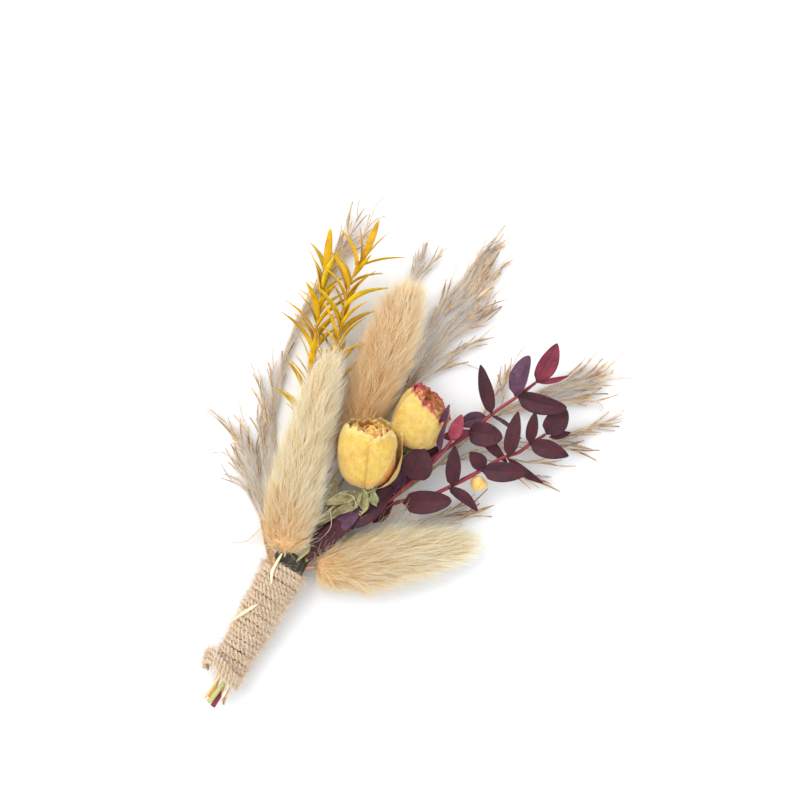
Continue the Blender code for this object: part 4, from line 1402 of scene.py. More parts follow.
def leaf_blade(name, base, tip, width, face=(0, 0, 1), arch=0.8, fold=0.7, finish=None, sway=0.0, seed=1.0,
               across=16, up=30, full=0.75):
    """A pointed oval from base to tip, with its short stalk. sway bends it sideways."""
    base, tip = Vector(base), Vector(tip)
    ahead = (tip - base).normalized()
    base = base - ahead * STALK
    length = (tip - base).length
    side = ahead.cross(Vector(face)).normalized()
    rise = side.cross(ahead)

    def place(u, v):
        swell = math.sin(math.pi * min(max(v, 0.0), 1.0) ** 0.88)
        half = width / 2 * max(swell, 0.0) ** full * (1 - 0.10 * v) + 0.10
        half = max(half * (1 - 0.80 * max(0.0, 0.13 - v) / 0.13), 0.22)
        s = 2 * u - 1
        lift = arch * math.sin(math.pi * v) * length * 0.07 + fold * abs(s) ** 1.4 * half * 0.30
        ripple = 0.16 * abs(s) ** 2 * noise.noise(Vector((v * 5.0, s * 2.0, seed)))
        ripple += 0.07 * noise.noise(Vector((v * 11.0, s * 4.0, seed + 7)))
        groove = -0.10 * math.exp(-(s / 0.09) ** 2)
        drift = sway * math.sin(math.pi * v * 0.9) * length * 0.1
        return base + ahead * (v * length) + side * (s * half + drift) + rise * (lift + ripple + groove)

    return sheet_solid(name, place, across, up, LEAF_THICKNESS, finish or burgundy_leaf)


LEAVES = {
    "high": [
        ((34.8, 84, 11.3), (34.3, 95.8, 12.6), 5.85, (0.2, 0, 1), reddish_leaf, 0.3),
        ((31.5, 77.4, 10.9), (29.3, 88.4, 13.5), 6.0, (-0.5, 0, 1), purple_leaf, -0.3),
        ((33.1, 77, 10.8), (46.1, 80.6, 15), 6.0, (0, -0.3, 1), burgundy_leaf, 0.4),
        ((27.8, 69.2, 10.4), (18.6, 79.1, 13), 4.6, (0.2, 0.3, 1), burgundy_leaf, -0.5),
        ((29.4, 68.2, 9.2), (39.4, 67.2, 7), 3.6, (0, 1, 0.5), burgundy_leaf, 0.3),
        ((26.9, 66.8, 8), (21.6, 61.4, 6), 4.6, (0, 0, 1), purple_leaf, 0.2),
        ((26, 61, 10.3), (34.6, 64, 12.4), 7.4, (0, -0.1, 1), burgundy_leaf, 0.0),
    ],
    "low": [
        ((45.1, 72.4, 11.2), (45.9, 80.8, 11.6), 6.8, (0.1, 0, 1), burgundy_leaf, 0.2),
        ((43.2, 66.8, 10.9), (53.6, 69.1, 12.4), 5.4, (0, -0.2, 1), burgundy_leaf, -0.2),
        ((41.8, 67.6, 11), (38.8, 75.2, 13.2), 3.6, (-0.4, 0, 1), burgundy_leaf, 0.4),
        ((38.6, 61, 10.8), (34.6, 72.7, 13.5), 4.6, (-0.3, 0, 1), burgundy_leaf, 0.2),
        ((35.2, 53.4, 10), (45.8, 59.5, 12), 6.0, (0, 0, 1), burgundy_leaf, 0.3),
        ((20.2, 34, 8.3), (31.2, 41, 12), 7.0, (0, 0, 1), burgundy_leaf, 0.2),
        ((29.4, 43.7, 9.3), (39.1, 42.3, 9.2), 3.6, (0, 0.4, 1), burgundy_leaf, -0.4),
        ((14.9, 25.2, 7), (14.6, 34.6, 7.2), 6.0, (0, 0, 1), burgundy_leaf, 0.0),
        ((28.9, 45.4, 9.6), (23.9, 54.9, 12.6), 4.6, (-0.3, 0, 1), burgundy_leaf, 0.3),
        ((33.8, 54.2, 10.2), (28.6, 55.6, 12.4), 4.8, (0, 0, 1), burgundy_leaf, 0.0),
    ],
    "mid": [
        ((18.2, 41.2, 11.3), (16.8, 49.6, 13), 9.4, (0, 0, 1), burgundy_leaf, 0.0),
        ((20.9, 52, 12.9), (16.9, 63.9, 17.6), 3.4, (-0.8, 0.2, 1), purple_leaf, -0.2),
        ((22.2, 56.7, 13.3), (21.2, 63.4, 15.6), 4.0, (0.1, 0, 1), pinkish_leaf, 0.0),
    ],
}
leaf_rows = [(f"eucalyptus_{sprig}_leaf_{place}", *row)
             for sprig, rows in LEAVES.items() for place, row in enumerate(rows, 1)]
for number, (name, base, tip, width, face, finish, sway) in enumerate(leaf_rows):
    wide = 0.52 if width > 5.9 else 0.70
    keep(leaf_blade(name, base, tip, width, face, finish=finish, sway=sway, seed=number * 1.7, full=wide),
         "burgundy_leaf", name)

# Young leaves and small side leaves that have no node of their own.
SMALL_LEAVES = [
    ((35.7, 83.8, 10.9), (41.8, 89.5, 11.6), 1.6, reddish_leaf, 0.6),
    ((28.2, 62.5, 9.4), (39.3, 59, 9), 3.4, burgundy_leaf, 0.3),
    ((46.9, 71.9, 10.8), (50.7, 75.6, 10.6), 2.2, burgundy_leaf, 0.2),
    ((39.8, 59.9, 9.4), (51.3, 59.3, 8.6), 2.6, burgundy_leaf, 0.6),
    ((11.1, 46.9, 7.6), (18.4, 50.6, 7), 5.6, purple_leaf, 0.0),
    ((4.6, 6.4, 10.4), (10.2, 24.6, 11.2), 5.6, burgundy_leaf, -0.3),
    ((5.6, 13.2, 10.6), (9.4, 29.6, 11.6), 5.0, purple_leaf, 0.4),
    ((8.8, 19.4, 11.2), (14.6, 36.2, 9.8), 7.2, burgundy_leaf, 0.3),
    ((3.6, 8.6, 9), (5.8, 22.6, 9.4), 5.6, burgundy_leaf, 0.2),
    ((11.6, 34, 7), (18.6, 44, 6.4), 7.0, purple_leaf, 0.0),
    ((14, 42, 6), (20.6, 53.2, 6.4), 6.4, burgundy_leaf, 0.2),
    ((20.2, 56, 10.6), (25.6, 61.5, 10), 3.0, reddish_leaf, 0.4),
]
small = [leaf_blade("small_leaf", base, tip, width, finish=finish, sway=sway, seed=40 + i * 2.1, across=10,
                    up=18)
         for i, (base, tip, width, finish, sway) in enumerate(SMALL_LEAVES)]
keep(joined("eucalyptus_small_leaves", small), "burgundy_leaf")

# %% The dried bud
bud_finish = petal_finish("dried_bud", (240, 206, 104), (226, 160, 70), (204, 84, 60), (236, 200, 140))
BUD = [(33.2, 48.8, 8.6), (34.4, 49.2, 8.4), (36.2, 49.8, 8.2), (37.8, 50.4, 8.0)]
bud_girth = [0.5, 1.6, 2.2, 2.25, 1.9, 1.1, 0.5]
keep(tube("small_dried_bud", smooth(BUD, 8), lambda share: along(bud_girth, share), bud_finish, 26, 0.22,
          seed=8.0,
          ends="plain"), "yellow_petal", "small_dried_bud")

# %% [markdown]
# ## Dry sheaths and bits
# A few dry scraps come with the grasses: a brown sheath beside the left head, a pale strip and a brown
# bract among the cut ends, loose wisps, crumpled leaves under the front rose and a fringe of fine fibres.
# The flat ones share the leaf helper and a dull, fibrous finish. A fixed seed lays out the fringe.
# %% Dry bits
dry_sheath = leaf_finish("dry_sheath", (206, 170, 126), (138, 100, 66), (170, 130, 88), (222, 196, 160), 0.7)
crumpled_leaf = leaf_finish("crumpled_leaf", (178, 164, 122), (100, 92, 60), (190, 174, 136),
                            (202, 188, 156), 0.75)
dry_strip = leaf_finish("dry_strip", (236, 226, 208), (200, 184, 160), (214, 200, 176), (244, 238, 226), 0.7)
DRY_BITS = [
    ((-3.0, -1.6, 12.6), (-14.3, 9.2, 12.0), 2.4, dry_sheath, 0.5),
    ((-4.4, -0.8, 10.8), (-9.0, 11.6, 9.4), 1.8, dry_sheath, -0.4),
    ((2.9, -32.8, 7.0), (4.9, -42.4, 4.8), 2.3, dry_sheath, 0.8),
    ((2.0, -33.2, 8.2), (3.2, -41.6, 5.4), 0.9, dry_strip, -0.5),
    ((1.6, -33.4, 8.0), (3.9, -37.4, 6.4), 1.1, dry_strip, 0.4),
]
bits = [leaf_blade("bit", base, tip, width, finish=finish, sway=sway, fold=1.6, seed=60 + i * 1.9, across=8,
                   up=18, full=0.8)
        for i, (base, tip, width, finish, sway) in enumerate(DRY_BITS)]
dry_fibre = leaf_finish("dry_fibre", (214, 182, 136), (150, 112, 70), (184, 146, 100), (228, 204, 168), 0.7)
WISPS = [
    [(-2.2, -34.6, 8.4), (-3.6, -37.6, 7.0), (-5.2, -40.4, 5.4)],
    [(5.7, 0.9, 7.4), (7.6, -1.6, 6.4), (8.4, -4.2, 4.6), (9.6, -3.2, 3.4)],
    [(9.0, 25.4, 13.2), (6.0, 27.4, 14.6), (2.4, 26.0, 14.0)],
    [(2.6, 21.0, 13.0), (5.4, 16.6, 13.6), (4.2, 11.0, 12.4)],
]
bits += [tube("wisp", smooth(knots, 8), lambda share: 0.085 * (1.15 - share), straw, 6)
         for knots in WISPS]
CRUMPLED = [
    ((6.8, 28.6, 10.8), (0.4, 21.6, 12.4), 3.4, 3.3), ((5.6, 25.0, 9.8), (1.6, 15.0, 11.8), 3.0, 8.1),
    ((3.4, 20.4, 8.8), (-0.8, 29.0, 10.2), 3.2, 12.7), ((8.2, 26.0, 11.0), (3.6, 19.8, 13.0), 2.4, 17.2),
]
bits += [leaf_blade("crumple", base, tip, width, finish=crumpled_leaf, fold=2.6, arch=2.0, seed=seed,
                    across=12, up=20, full=0.6)
         for base, tip, width, seed in CRUMPLED]
FRINGE = [((17.0, 27.0, 7.4), 16), ((21.5, 31.0, 7.6), 16), ((8.0, 19.0, 9.8), 10), ((4.0, 24.0, 11.0), 8)]
fringe_luck = np.random.RandomState(17)
for patch, count in FRINGE:
    for _ in range(count):
        shift = [5.0 * fringe_luck.rand() - 2.5 for _ in "xy"] + [1.6 * fringe_luck.rand()]
        start = Vector(patch) + Vector(shift)
        heading, reach = math.radians(20 + 100 * fringe_luck.rand()), 4.5 + 5.0 * fringe_luck.rand()
        ahead = Vector((math.cos(heading), math.sin(heading), 0.25 * fringe_luck.rand()))
        sag = ahead.cross(Vector((0, 0, 1))) * (2.4 * fringe_luck.rand() - 1.2)
        fibre = [start + ahead * reach * t + sag * t * t for t in (0, 0.25, 0.5, 0.75, 1.0)]
        bits.append(tube("fibre", fibre, lambda share: 0.075 * (1.1 - share), dry_fibre, 4))
keep(joined("dry_bits", bits), "straw")

# %% [markdown]
# ## The tree that sets blades along a path
# Narrow leaves round a stem and spikelets along a reed twig follow one rule: a place every so often along
# the path, a turn about it, and a lean outwards. The tree copies one small blade to those places. Its
# turn can be the golden angle, as leaves grow, or random, as spikelets lie. Scaling a bent blade across
# its bend makes some straighter and some more curved, so one blade is enough.
# %% Blade tree
blade_tree, w, taken, end = growth_tree("blades_along_a_path", [
    ("Blade", "object", None), ("Spacing", "float", 0.002), ("Turn", "float", 2.4), ("Scatter", "float", 0.3),
    ("Lean Low", "float", 0.3), ("Lean High", "float", 0.7), ("Size Low", "float", 0.7),
    ("Size High", "float", 1.1), ("Bow Low", "float", 0.4), ("Bow High", "float", 1.4),
    ("Flatness", "float", 0.4), ("Seed", "int", 1), ("Finish", "material", None),
])
to_points = w.add("GeometryNodeCurveToPoints", {"mode": "LENGTH"}, Curve=taken["Geometry"],
                  Length=taken["Spacing"])
tangent, side = to_points.outputs["Tangent"], to_points.outputs["Normal"]
other_side = w.vector("CROSS_PRODUCT", tangent, side)


def between(low, high, offset):
    """A random value per blade between two of the tree's inputs."""
    luck = w.random(0.0, 1.0, w.more(taken["Seed"], offset))
    return w.more(taken[low], w.times(luck, w.less(taken[high], taken[low])))


number = w.add("GeometryNodeInputIndex").outputs[0]
swing = w.times(taken["Scatter"], w.random(-1.0, 1.0, w.more(taken["Seed"], 3)))
turned_by = w.more(w.times(number, taken["Turn"]), swing)
radial = w.plus(w.scaled(side, w.math("COSINE", turned_by)), w.scaled(other_side, w.math("SINE", turned_by)))
flatter = w.less(1.0, taken["Flatness"])
squashed = w.add("ShaderNodeCombineXYZ", X=1.0, Y=1.0, Z=flatter).outputs[0]
radial = w.vector("NORMALIZE", w.vector("MULTIPLY", radial, squashed))
lean = between("Lean Low", "Lean High", 4)
aim = w.vector("NORMALIZE", w.plus(tangent, w.scaled(radial, lean)))
facing = w.add("FunctionNodeAxesToRotation", {"primary_axis": "Z", "secondary_axis": "X"}, i0=aim, i1=radial)
size = between("Size Low", "Size High", 5)
bow = w.times(size, between("Bow Low", "Bow High", 6))
scale = w.add("ShaderNodeCombineXYZ", X=bow, Y=size, Z=size).outputs[0]
points = w.store(to_points.outputs["Points"], "tone", w.random(0.0, 1.0, w.more(taken["Seed"], 7)))
blade = w.add("GeometryNodeObjectInfo", Object=taken["Blade"]).outputs["Geometry"]
blades = w.add("GeometryNodeInstanceOnPoints", Points=points, Instance=blade, Rotation=facing.outputs[0],
               Scale=scale).outputs[0]
blades = w.add("GeometryNodeRealizeInstances", Geometry=blades).outputs[0]
w.deliver(blades, taken["Finish"], end)
print("tree:", blade_tree.name, "with", len(blade_tree.nodes), "nodes")


def blade_mesh(name, length, width, bend, thickness, stations=8, keel=0.35, tip_power=1.0):
    """A narrow closed blade along Z that bows towards +X, with a creased middle. Sizes in millimetres."""
    points, shares = [], []
    across = (-1.0, -0.5, 0.0, 0.5, 1.0)
    loop = len(across) * 2
    for j in range(stations + 1):
        v = j / stations
        half = width / 2 * (math.sin(math.pi * (0.06 + 0.94 * v) ** 0.9) ** tip_power) + 0.035
        middle = bend * length * v * v
        for face_side in (1, -1):
            row = across if face_side == 1 else across[::-1]
            for s in row:
                crease = keel * half * abs(s)
                thick = thickness * (1 - 0.75 * abs(s)) / 2 * face_side
                points.append(Vector((middle - crease - thick, s * half, v * length)) * MM)
                shares.append((s * 0.5 + 0.5, v, face_side))
    faces = skin_faces(stations, loop)
    faces.append(tuple(range(loop)))
    faces.append(tuple(range(stations * loop, (stations + 1) * loop))[::-1])
    mesh = bpy.data.meshes.new(name)
    mesh.from_pydata([tuple(point) for point in points], [], faces)
    carry(mesh, "share", shares)
    mesh.polygons.foreach_set("use_smooth", [len(face.vertices) == 4 for face in mesh.polygons])
    return put_in_scene(name, mesh)


def set_blades(name, path, blade, finish, seed, **sizes):
    return grow(name, path, blade_tree, True, Blade=blade, Finish=finish, Seed=seed, **sizes)


def stay_above_the_table(piece):
    """Leaves and grains that would dip into the table lie on it."""
    for vertex in piece.data.vertices:
        vertex.co.z = max(vertex.co.z, (0.25 + 0.1 * math.sin(vertex.co.x * 3000)) * MM)


# %% [markdown]
# ## Yellow foliage
# Two sprigs of dyed foliage stand out bright golden yellow. Their leaves are narrow, creased like a
# boat and bent outwards, and turn round the stem by the golden angle. They are set with the blade tree on
# the leafy part of each stem, and the top leaf stands on its own.
# %% Yellow finish
golden, wire, shader = new_finish("golden_leaf", 0.5, coat=0.02)
shader.inputs["Specular IOR Level"].default_value = 0.25
split = wire.parts(wire.carried("share"))
tone = wire.attribute("tone")
flow = wire.stretch(wire.carried("share"), (9.0, 1.6, 1.0))
grain = wire.vector("ADD", flow, wire.stretch(wire.place(), (90.0, 90.0, 90.0)))
lines = mottled(wire, grain, 1.2, (228, 186, 4), (170, 118, 0), 1.3)
greenish = wire.times(wire.ramp(tone, 0.62, 0.95), 0.35)
mixed = wire.blend(greenish, lines["Colour"], paint(196, 186, 34))
brown = wire.times(wire.ramp(wire.less(0.45, tone), 0.0, 0.4), 0.3)
mixed = wire.blend(brown, mixed, paint(190, 134, 6))
keel = wire.less(1.0, wire.ramp(wire.math("ABSOLUTE", wire.less(split[0], 0.5)), 0.03, 0.12))
mixed = wire.blend(wire.times(keel, 0.45), mixed, paint(160, 96, 4))
tipped = wire.times(wire.ramp(split[1], 0.90, 1.0), 0.55)
colour_by(wire, shader, wire.blend(tipped, mixed, paint(150, 92, 24)))
bump(wire, shader, lines["Height"], 0.35, 0.0002)

# %% Yellow sprigs
YELLOW_LEFT = [
    (-8, 8, 7.4), (-13, 20, 6.4), (-17, 36.3, 5.8), (-23.2, 51.2, 6.4), (-26.8, 60, 6.8),
    (-31, 70.5, 7.2), (-34.5, 79.4, 7.6),
]
YELLOW_RIGHT = [
    (-4, 10, 6), (-8, 25, 5.2), (-11, 38, 5), (-14.6, 48.3, 6.2), (-19.7, 62.4, 9),
    (-23.8, 72.3, 11.4), (-26.4, 80.6, 12.2), (-26.7, 86.6, 12.6),
]
golden_blade = blade_mesh("golden_blade", 14.2, 2.35, 0.30, 0.32, 9, 0.50, 0.8)


def yellow_sprig(name, ring, angle, cut, beyond, first, cut_radius, seed, size):
    """The stem, its leaves and the leaf at its tip, as one piece."""
    route = stem_route(ring, angle, cut, beyond)
    total = len(route) - 1

    def radius_of(share):
        if share < 6 / total:
            return cut_radius + (STEM_RADIUS - cut_radius) * (share * total / 6) ** 2
        return STEM_RADIUS * (1 - 0.35 * share)

    stalk = tube(name, route, radius_of, ochre_stem, 12, 0.1, seed=seed)
    leafy = path_object("leafy", [smooth(beyond[first:], 10)])
    leaves = set_blades("leaves", leafy, golden_blade, golden, seed, Spacing=1.15 * MM,
                        Turn=math.radians(137.5),
                        Scatter=0.5, Lean_Low=0.20, Lean_High=0.72, Size_Low=0.62 * size,
                        Size_High=1.08 * size,
                        Bow_Low=0.2, Bow_High=1.6, Flatness=0.6)
    tip_way = Vector(beyond[-1]) - Vector(beyond[-2])
    ahead = tip_way.normalized()
    tip_path = path_object("tip", [[Vector(beyond[-1]) - ahead * 1.2, Vector(beyond[-1]) + ahead * 0.9]])
    top = set_blades("top", tip_path, golden_blade, golden, seed + 5, Spacing=0.9 * MM, Turn=2.2,
                     Scatter=0.4, Lean_Low=0.05, Lean_High=0.30, Size_Low=0.9 * size, Size_High=1.1 * size,
                     Bow_Low=0.0, Bow_High=0.5, Flatness=0.3)
    discard(leafy, tip_path)
    stay_above_the_table(leaves)
    keep(joined(name, [stalk, leaves, top]), "golden_leaf", name)


yellow_sprig("yellow_sprig_left", "outer", 144, -42.5, YELLOW_LEFT, 2, CUT_RADIUS, 4, 0.95)
yellow_sprig("yellow_sprig_right", "inner", 126, -35.0, YELLOW_RIGHT, 3, STEM_RADIUS, 9, 1.0)
discard(golden_blade)

# %% [markdown]
# ## Reed plumes
# Five pieces of reed lie under everything and show at the edges: a stem, many twigs that lean forward,
# slim pointed spikelets, and long silk from every twig. The twigs are laid out by a seeded rule, then one
# small tree gives them thickness, the blade tree adds the spikelets and the hair tree the silk.
# %% Reed finishes
reed, wire, shader = new_finish("reed_spikelet", 0.7, sheen=0.15)
tone = wire.attribute("tone")
split = wire.parts(wire.carried("share"))
flow = wire.stretch(wire.carried("share"), (10.0, 2.5, 1.0))
grain = wire.vector("ADD", flow, wire.stretch(wire.place(), (120.0, 120.0, 120.0)))
lines = mottled(wire, grain, 1.3, (214, 180, 132), (134, 96, 60), 1.3)
darker = wire.blend(wire.times(wire.ramp(tone, 0.55, 1.0), 0.6), lines["Colour"], paint(124, 86, 54))
colour_by(wire, shader, wire.blend(wire.ramp(split[1], 0.2, 1.0), darker, paint(214, 178, 126)))
bump(wire, shader, lines["Height"], 0.4, 0.0002)

silk, wire, shader = new_finish("reed_silk", 0.6, sheen=0.3)
way, tone = wire.attribute("along"), wire.attribute("tone")
soft = wire.blend(wire.ramp(way, 0.0, 0.7), paint(244, 230, 210), paint(255, 252, 247))
colour_by(wire, shader, wire.blend(wire.ramp(tone, 0.55, 1.0), soft, paint(220, 198, 170)))

twig_tree, w, taken, end = growth_tree("twigs", [("Sides", "int", 5), ("Finish", "material", None)])
lines = w.store(taken["Geometry"], "sweep", w.add("GeometryNodeInputTangent").outputs[0], "FLOAT_VECTOR")
way = w.add("GeometryNodeSplineParameter").outputs["Factor"]
lines = w.store(lines, "growth", w.times(w.math("GREATER_THAN", way, 0.12), w.math("LESS_THAN", way, 0.97)))
lines = w.store(lines, "lengthen", w.less(1.15, w.times(way, 0.35)))
thick = w.times(w.add("GeometryNodeInputRadius").outputs[0], MM)
ring = w.add("GeometryNodeCurvePrimitiveCircle", Resolution=taken["Sides"], Radius=1.0).outputs[0]
w.deliver(w.swept(lines, ring, thick), taken["Finish"], end)
print("reed finishes and the twig tree are ready")

# %% Plume builder
PLUME_FLOOR = 0.45
STRAND_POINTS = 13
STRAND_GIRTHS = [0.16, 0.14, 0.13, 0.12, 0.11, 0.08, 0.035]
AWN_GIRTHS = [0.11, 0.10, 0.09, 0.075, 0.04]
spikelet = blade_mesh("spikelet", 8.4, 1.05, 0.08, 0.36, 6, 0.30, 1.5)


def strand(route, start, stop, drift, rise, luck):
    """A thin branch that leaves the route at one share of it and drifts to the side as it runs."""
    made = []
    waver, phase = 0.35 * luck.rand(), 6 * luck.rand()
    for step in range(STRAND_POINTS):
        t = step / (STRAND_POINTS - 1)
        place = (start + (stop - start) * t) * (len(route) - 1)
        i = min(int(place), len(route) - 2)
        here = route[i].lerp(route[i + 1], place - i)
        side = (route[i + 1] - route[i]).normalized().cross(Vector((0, 0, 1)))
        here = here + side * (drift * t ** 1.5 + waver * math.sin(phase + 5 * t) * t)
        here.z = max(here.z + rise * t * (1.4 - t), PLUME_FLOOR)
        made.append(here)
    return made


def raised(arm, start_height, height=1.1):
    """A flat run of places, lifted from the height of its start down to the height of its end."""
    last = len(arm) - 1
    return [Vector((x, y, start_height + (height - start_height) * i / last)) for i, (x, y) in enumerate(arm)]


def plume(name, ring, angle, cut, beyond, arms, awns, per_arm, drift, seed, silk_density, silk_length=8.0,
          begin=1.0, rise=2.4):
    """One reed: its stem, the strands of its arms, their spikelets, its awns and its silk."""
    luck = np.random.RandomState(seed)
    full = stem_route(ring, angle, cut, beyond)
    total = len(full) - 1
    stalk = tube(name, full, lambda share: STEM_RADIUS * (1 - 0.75 * max(share - 14 / total, 0)), reed_stem,
                 10, 0.1,
                 seed=seed)
    routes, girths, tips = [], [], []
    for arm in arms:
        route = smooth(raised(arm, begin), 8)
        for k in range(per_arm):
            swing = drift * (2 * luck.rand() - 1) * (0.35 if k == 0 else 1.0)
            path = strand(route, 0.42 * luck.rand() * (k > 0), 1.02 - 0.28 * luck.rand() * (k > 0), swing,
                          rise * luck.rand(), luck)
            routes.append(path)
            girths.append([value * (0.8 + 0.4 * luck.rand()) for value in STRAND_GIRTHS])
            tips.append(path[-1 - STRAND_POINTS // 2:-2])
    for awn in awns:
        routes.append(smooth(raised(awn, 1.3, 2.6), 5))
        girths.append(AWN_GIRTHS)
    lines = path_object("strand_lines", routes, girths)
    strands = grow("strands", lines, twig_tree, True, Sides=5, Finish=reed)
    ends = path_object("strand_ends", tips)
    grains = set_blades("grains", ends, spikelet, reed, seed, Spacing=3.4 * MM, Turn=2.4, Scatter=1.5,
                        Lean_Low=0.04, Lean_High=0.26, Size_Low=0.55, Size_High=1.05, Bow_Low=0.5,
                        Bow_High=1.5,
                        Flatness=0.85)
    discard(lines, ends)
    threads = hair(f"{name}_silk", strands, silk, silk_density, silk_length, 0.30, 0.22, 0.20, 0.024, seed,
                   3, 0.6,
                   tuft=0.6, tuft_size=4.0)
    stay_above_the_table(grains)
    keep(joined(name, [stalk, strands, grains]), "reed_plume", name)
    keep(threads, "reed_plume")


plume("reed_plume_left", "outer", 180, -34.5, [
    (-8.5, 7, 4.6), (-14, 12, 2.8), (-23.6, 19.4, 1.3), (-31.7, 24.2, 0.9), (-36, 26, 0.9),
], [
    [(-9, 6.4), (-14.4, 10.3), (-23.5, 19.4), (-32, 24.7), (-41.7, 28.4)],
    [(-9, 6.8), (-14.7, 11.4), (-24.6, 22.4), (-33.5, 30.6)],
    [(-15.1, 13.8), (-23.5, 25.7), (-31.3, 35.3)], [(-16.9, 17.9), (-24.5, 30.2), (-31.9, 40.3)],
    [(-9, 6), (-14.8, 9.3), (-21.5, 13.1), (-26.8, 13.7)], [(-16.8, 12.2), (-23.1, 16.5), (-29.2, 19.3)],
], [
    [(-41.7, 28.4), (-43.5, 28.7), (-43.4, 25.1)], [(-29.2, 19.3), (-34, 19.5), (-37.8, 16.2)],
    [(-9.4, 6.8), (-12.3, 6.8), (-14.1, 1.3), (-16.5, -0.8), (-20.5, -3.2)],
    [(-33.5, 30.6), (-36.2, 33.4), (-37.7, 34.8)],
    [(-26.8, 13.7), (-30.1, 15.1), (-32.5, 16.4)],
], per_arm=3, drift=1.8, seed=11, silk_density=12.0, silk_length=7.0, begin=2.6)
plume("reed_plume_far_left", "outer", 216, -42.2, [
    (-8, 10, 2.3), (-16, 22, 1.2), (-25, 34, 1), (-31.5, 47, 0.9), (-34.6, 62, 0.9), (-35.6, 83, 1),
    (-37.2, 94, 1.6),
], [
    [(-25, 33.9), (-31.4, 47), (-34.6, 62), (-35.6, 83), (-37.4, 96.8)],
    [(-31.4, 47), (-34.6, 62), (-35.2, 82.2), (-34.8, 94.6), (-36.4, 100.7)],
    [(-34.6, 62), (-34.2, 79.4), (-32.1, 94.1), (-32, 100.3)],
    [(-34.6, 62), (-34.4, 82.7), (-33.4, 90.7), (-38.9, 99.3)],
    [(-22.5, 29.7), (-28.9, 39.4), (-34, 48.5)], [(-25, 31.6), (-31.4, 38.9), (-35.2, 43.7)],
    [(-25, 33.9), (-29.4, 44.2), (-32.1, 52.7)],
], [
    [(-35.7, 94.4), (-38.4, 99.5), (-39.8, 103.7)], [(-36.4, 100.7), (-38.1, 104.8), (-37.5, 109.5)],
    [(-32, 100.3), (-33, 105.8), (-32.1, 110.7)], [(-31.7, 99.8), (-30.5, 102.8), (-27.9, 105.8)],
    [(-34, 48.5), (-36.3, 51.8), (-36.7, 53.6)],
], per_arm=2, drift=1.8, seed=12, silk_density=10.0)
plume("reed_plume_top", "inner", 270, -34.5, [
    (-2.6, 16, 2.4), (-5.2, 40, 1.3), (-8, 68, 1.1), (-10.6, 88, 1.5), (-11.6, 96, 2.2),
], [
    [(-8.4, 78.6), (-11.1, 88.8), (-12.2, 95.8), (-13.3, 100.6)],
    [(-8.2, 79.4), (-10.3, 89.2), (-10.5, 95.8), (-9, 101.2)],
    [(-8.9, 78.3), (-11.3, 86.9), (-13.1, 93.3), (-14.5, 98.5)],
], [
    [(-13.2, 99.3), (-14.3, 102.7), (-15.1, 106.3)], [(-9.2, 100.4), (-8.7, 104.7), (-6.8, 107.8)],
    [(-10.5, 95.8), (-10, 97.2), (-9.7, 99)],
], per_arm=3, drift=1.0, seed=13, silk_density=9.0)
plume("reed_plume_high", "outer", 252, -35.5, [
    (-0.4, 14, 2), (1, 36, 1.2), (2.6, 61, 1), (4.2, 82, 0.9), (6, 100, 1.4), (5.2, 108, 2.2),
], [
    [(2.6, 61.2), (-0.2, 80.7), (0.6, 98.1), (2.6, 110.1), (4.4, 113.8)],
    [(2.6, 61.2), (0.9, 80), (1.9, 94.1), (3, 104.2), (1.2, 111.3)],
    [(2.6, 61.2), (0.8, 79), (1.3, 89), (3.1, 94.5)],
    [(3.1, 61.5), (2.6, 81.1), (5.1, 93.3), (4.5, 102.4), (6, 106.7)],
    [(3.1, 61.5), (3.7, 81), (5.9, 94.8), (7.4, 104.8), (8.4, 110.5)],
    [(3.2, 61.9), (4.8, 80.3), (8.9, 93.2), (10.7, 99.3)],
    [(3.2, 61.9), (6.3, 81.2), (11.3, 90.9), (12.8, 95.2)],
    [(3.3, 62.3), (6.8, 75.8), (10.1, 80.4), (13.3, 85.7)],
    [(3.4, 62.7), (7.7, 71.9), (9.9, 76.2)], [(2.6, 61.2), (-0.2, 78.4), (-0.6, 88.2), (-1.5, 95.4)],
], [
    [(4, 112.9), (5.8, 115), (7.6, 117)], [(1.4, 112), (2.4, 116), (2.5, 120.4)],
    [(10.7, 99.3), (11.7, 102.6), (13.3, 105.6)], [(8.2, 109.7), (8.9, 112.5), (10.4, 115)],
    [(13.3, 85.7), (14.8, 89.6), (16.1, 94.1)], [(9.9, 76.2), (14, 78.4), (18.6, 79.1)],
    [(-1.5, 95.4), (-2.6, 100.6), (-3.8, 105.6)], [(1.2, 111.3), (0, 114.5), (-2.2, 117)],
], per_arm=4, drift=1.7, seed=14, silk_density=5.5)
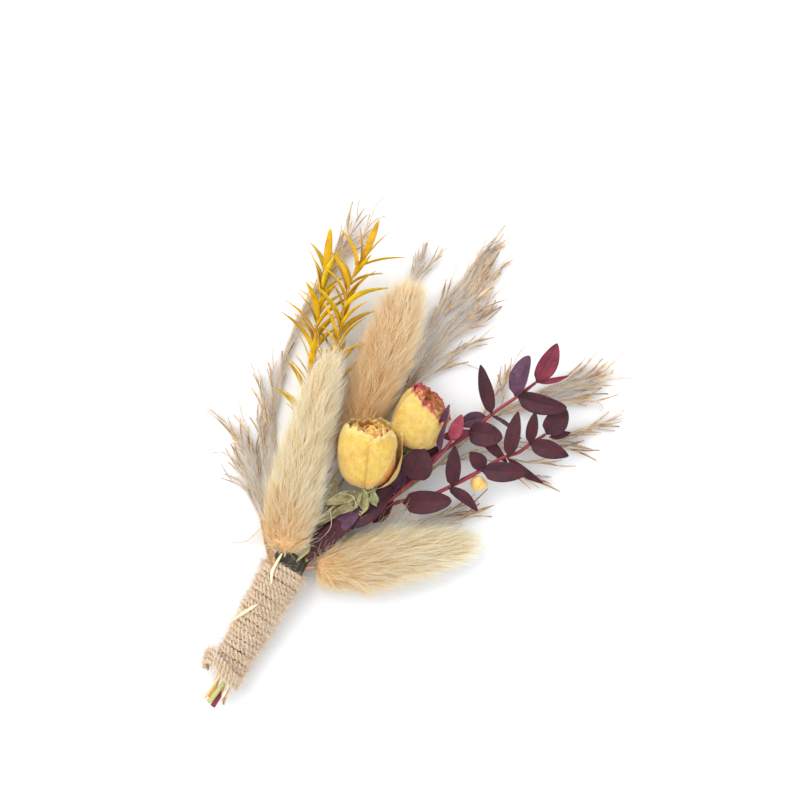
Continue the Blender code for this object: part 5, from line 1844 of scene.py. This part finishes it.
plume("reed_plume_right", "outer", 288, -36.0, [
    (5.6, 12, 2), (13.4, 28, 1.3), (21.3, 45.6, 1), (29.6, 70, 0.9), (40, 84, 1), (46, 93, 1.8),
], [
    [(21.3, 45.6), (29.4, 70), (36, 80.6), (41.7, 89.1), (44.9, 96.7)],
    [(29.4, 70), (37.3, 81.1), (45, 90.4), (47.8, 96.4)],
    [(29.4, 70), (38.4, 82.1), (47.9, 92.8), (50.7, 99.5)],
    [(29.9, 70.9), (39, 81.1), (48.3, 91), (55, 98)],
    [(30.2, 70.4), (39.6, 80.1), (45.6, 85.3), (49.2, 89.5)],
    [(21.3, 45.6), (29.4, 70), (27.4, 77.9), (26.5, 85.1)],
    [(21.3, 45.6), (25.4, 61.5), (26.4, 72.2), (26.1, 80.2)],
    [(29.7, 70.1), (41.2, 80.3), (48.1, 85.8), (52.9, 89)],
    [(22, 48), (34.3, 63.5), (44.3, 69.4), (50.1, 74.9), (56.5, 80.7), (59.7, 82.6)],
    [(34.3, 63.5), (45.3, 70.6), (51.6, 77.1), (56.5, 83), (60.1, 86.5)],
    [(22, 48), (36.3, 62.9), (45.5, 67.4), (51.3, 71.8), (56.3, 73.1)],
    [(22, 48), (31.6, 56.8), (41.3, 57.5), (47.3, 58.7), (51.5, 60.1)],
    [(34.6, 60.2), (43.5, 62.2), (49.6, 65.1), (54.4, 66.6)],
    [(20.2, 24.7), (27.5, 32.4), (33, 38.4), (37.4, 45.7)],
    [(20.2, 24.7), (29.3, 32.1), (35, 36.8), (39, 41.9)],
], [
    [(44.9, 96.7), (45.5, 99.8), (45.6, 102.5)], [(50.7, 99.5), (52.2, 102.7), (52.9, 106.5)],
    [(60.1, 86.5), (61.7, 87.8), (63.4, 89.5)], [(52.9, 89), (55.4, 88.1), (55.2, 86.3)],
    [(55, 98), (57.3, 99.7), (60, 100.3)], [(26.5, 85.1), (26.2, 89), (26.6, 91.9)],
], per_arm=3, drift=1.3, seed=15, silk_density=6.5)
discard(spikelet)

print("pieces:", len(made_pieces))
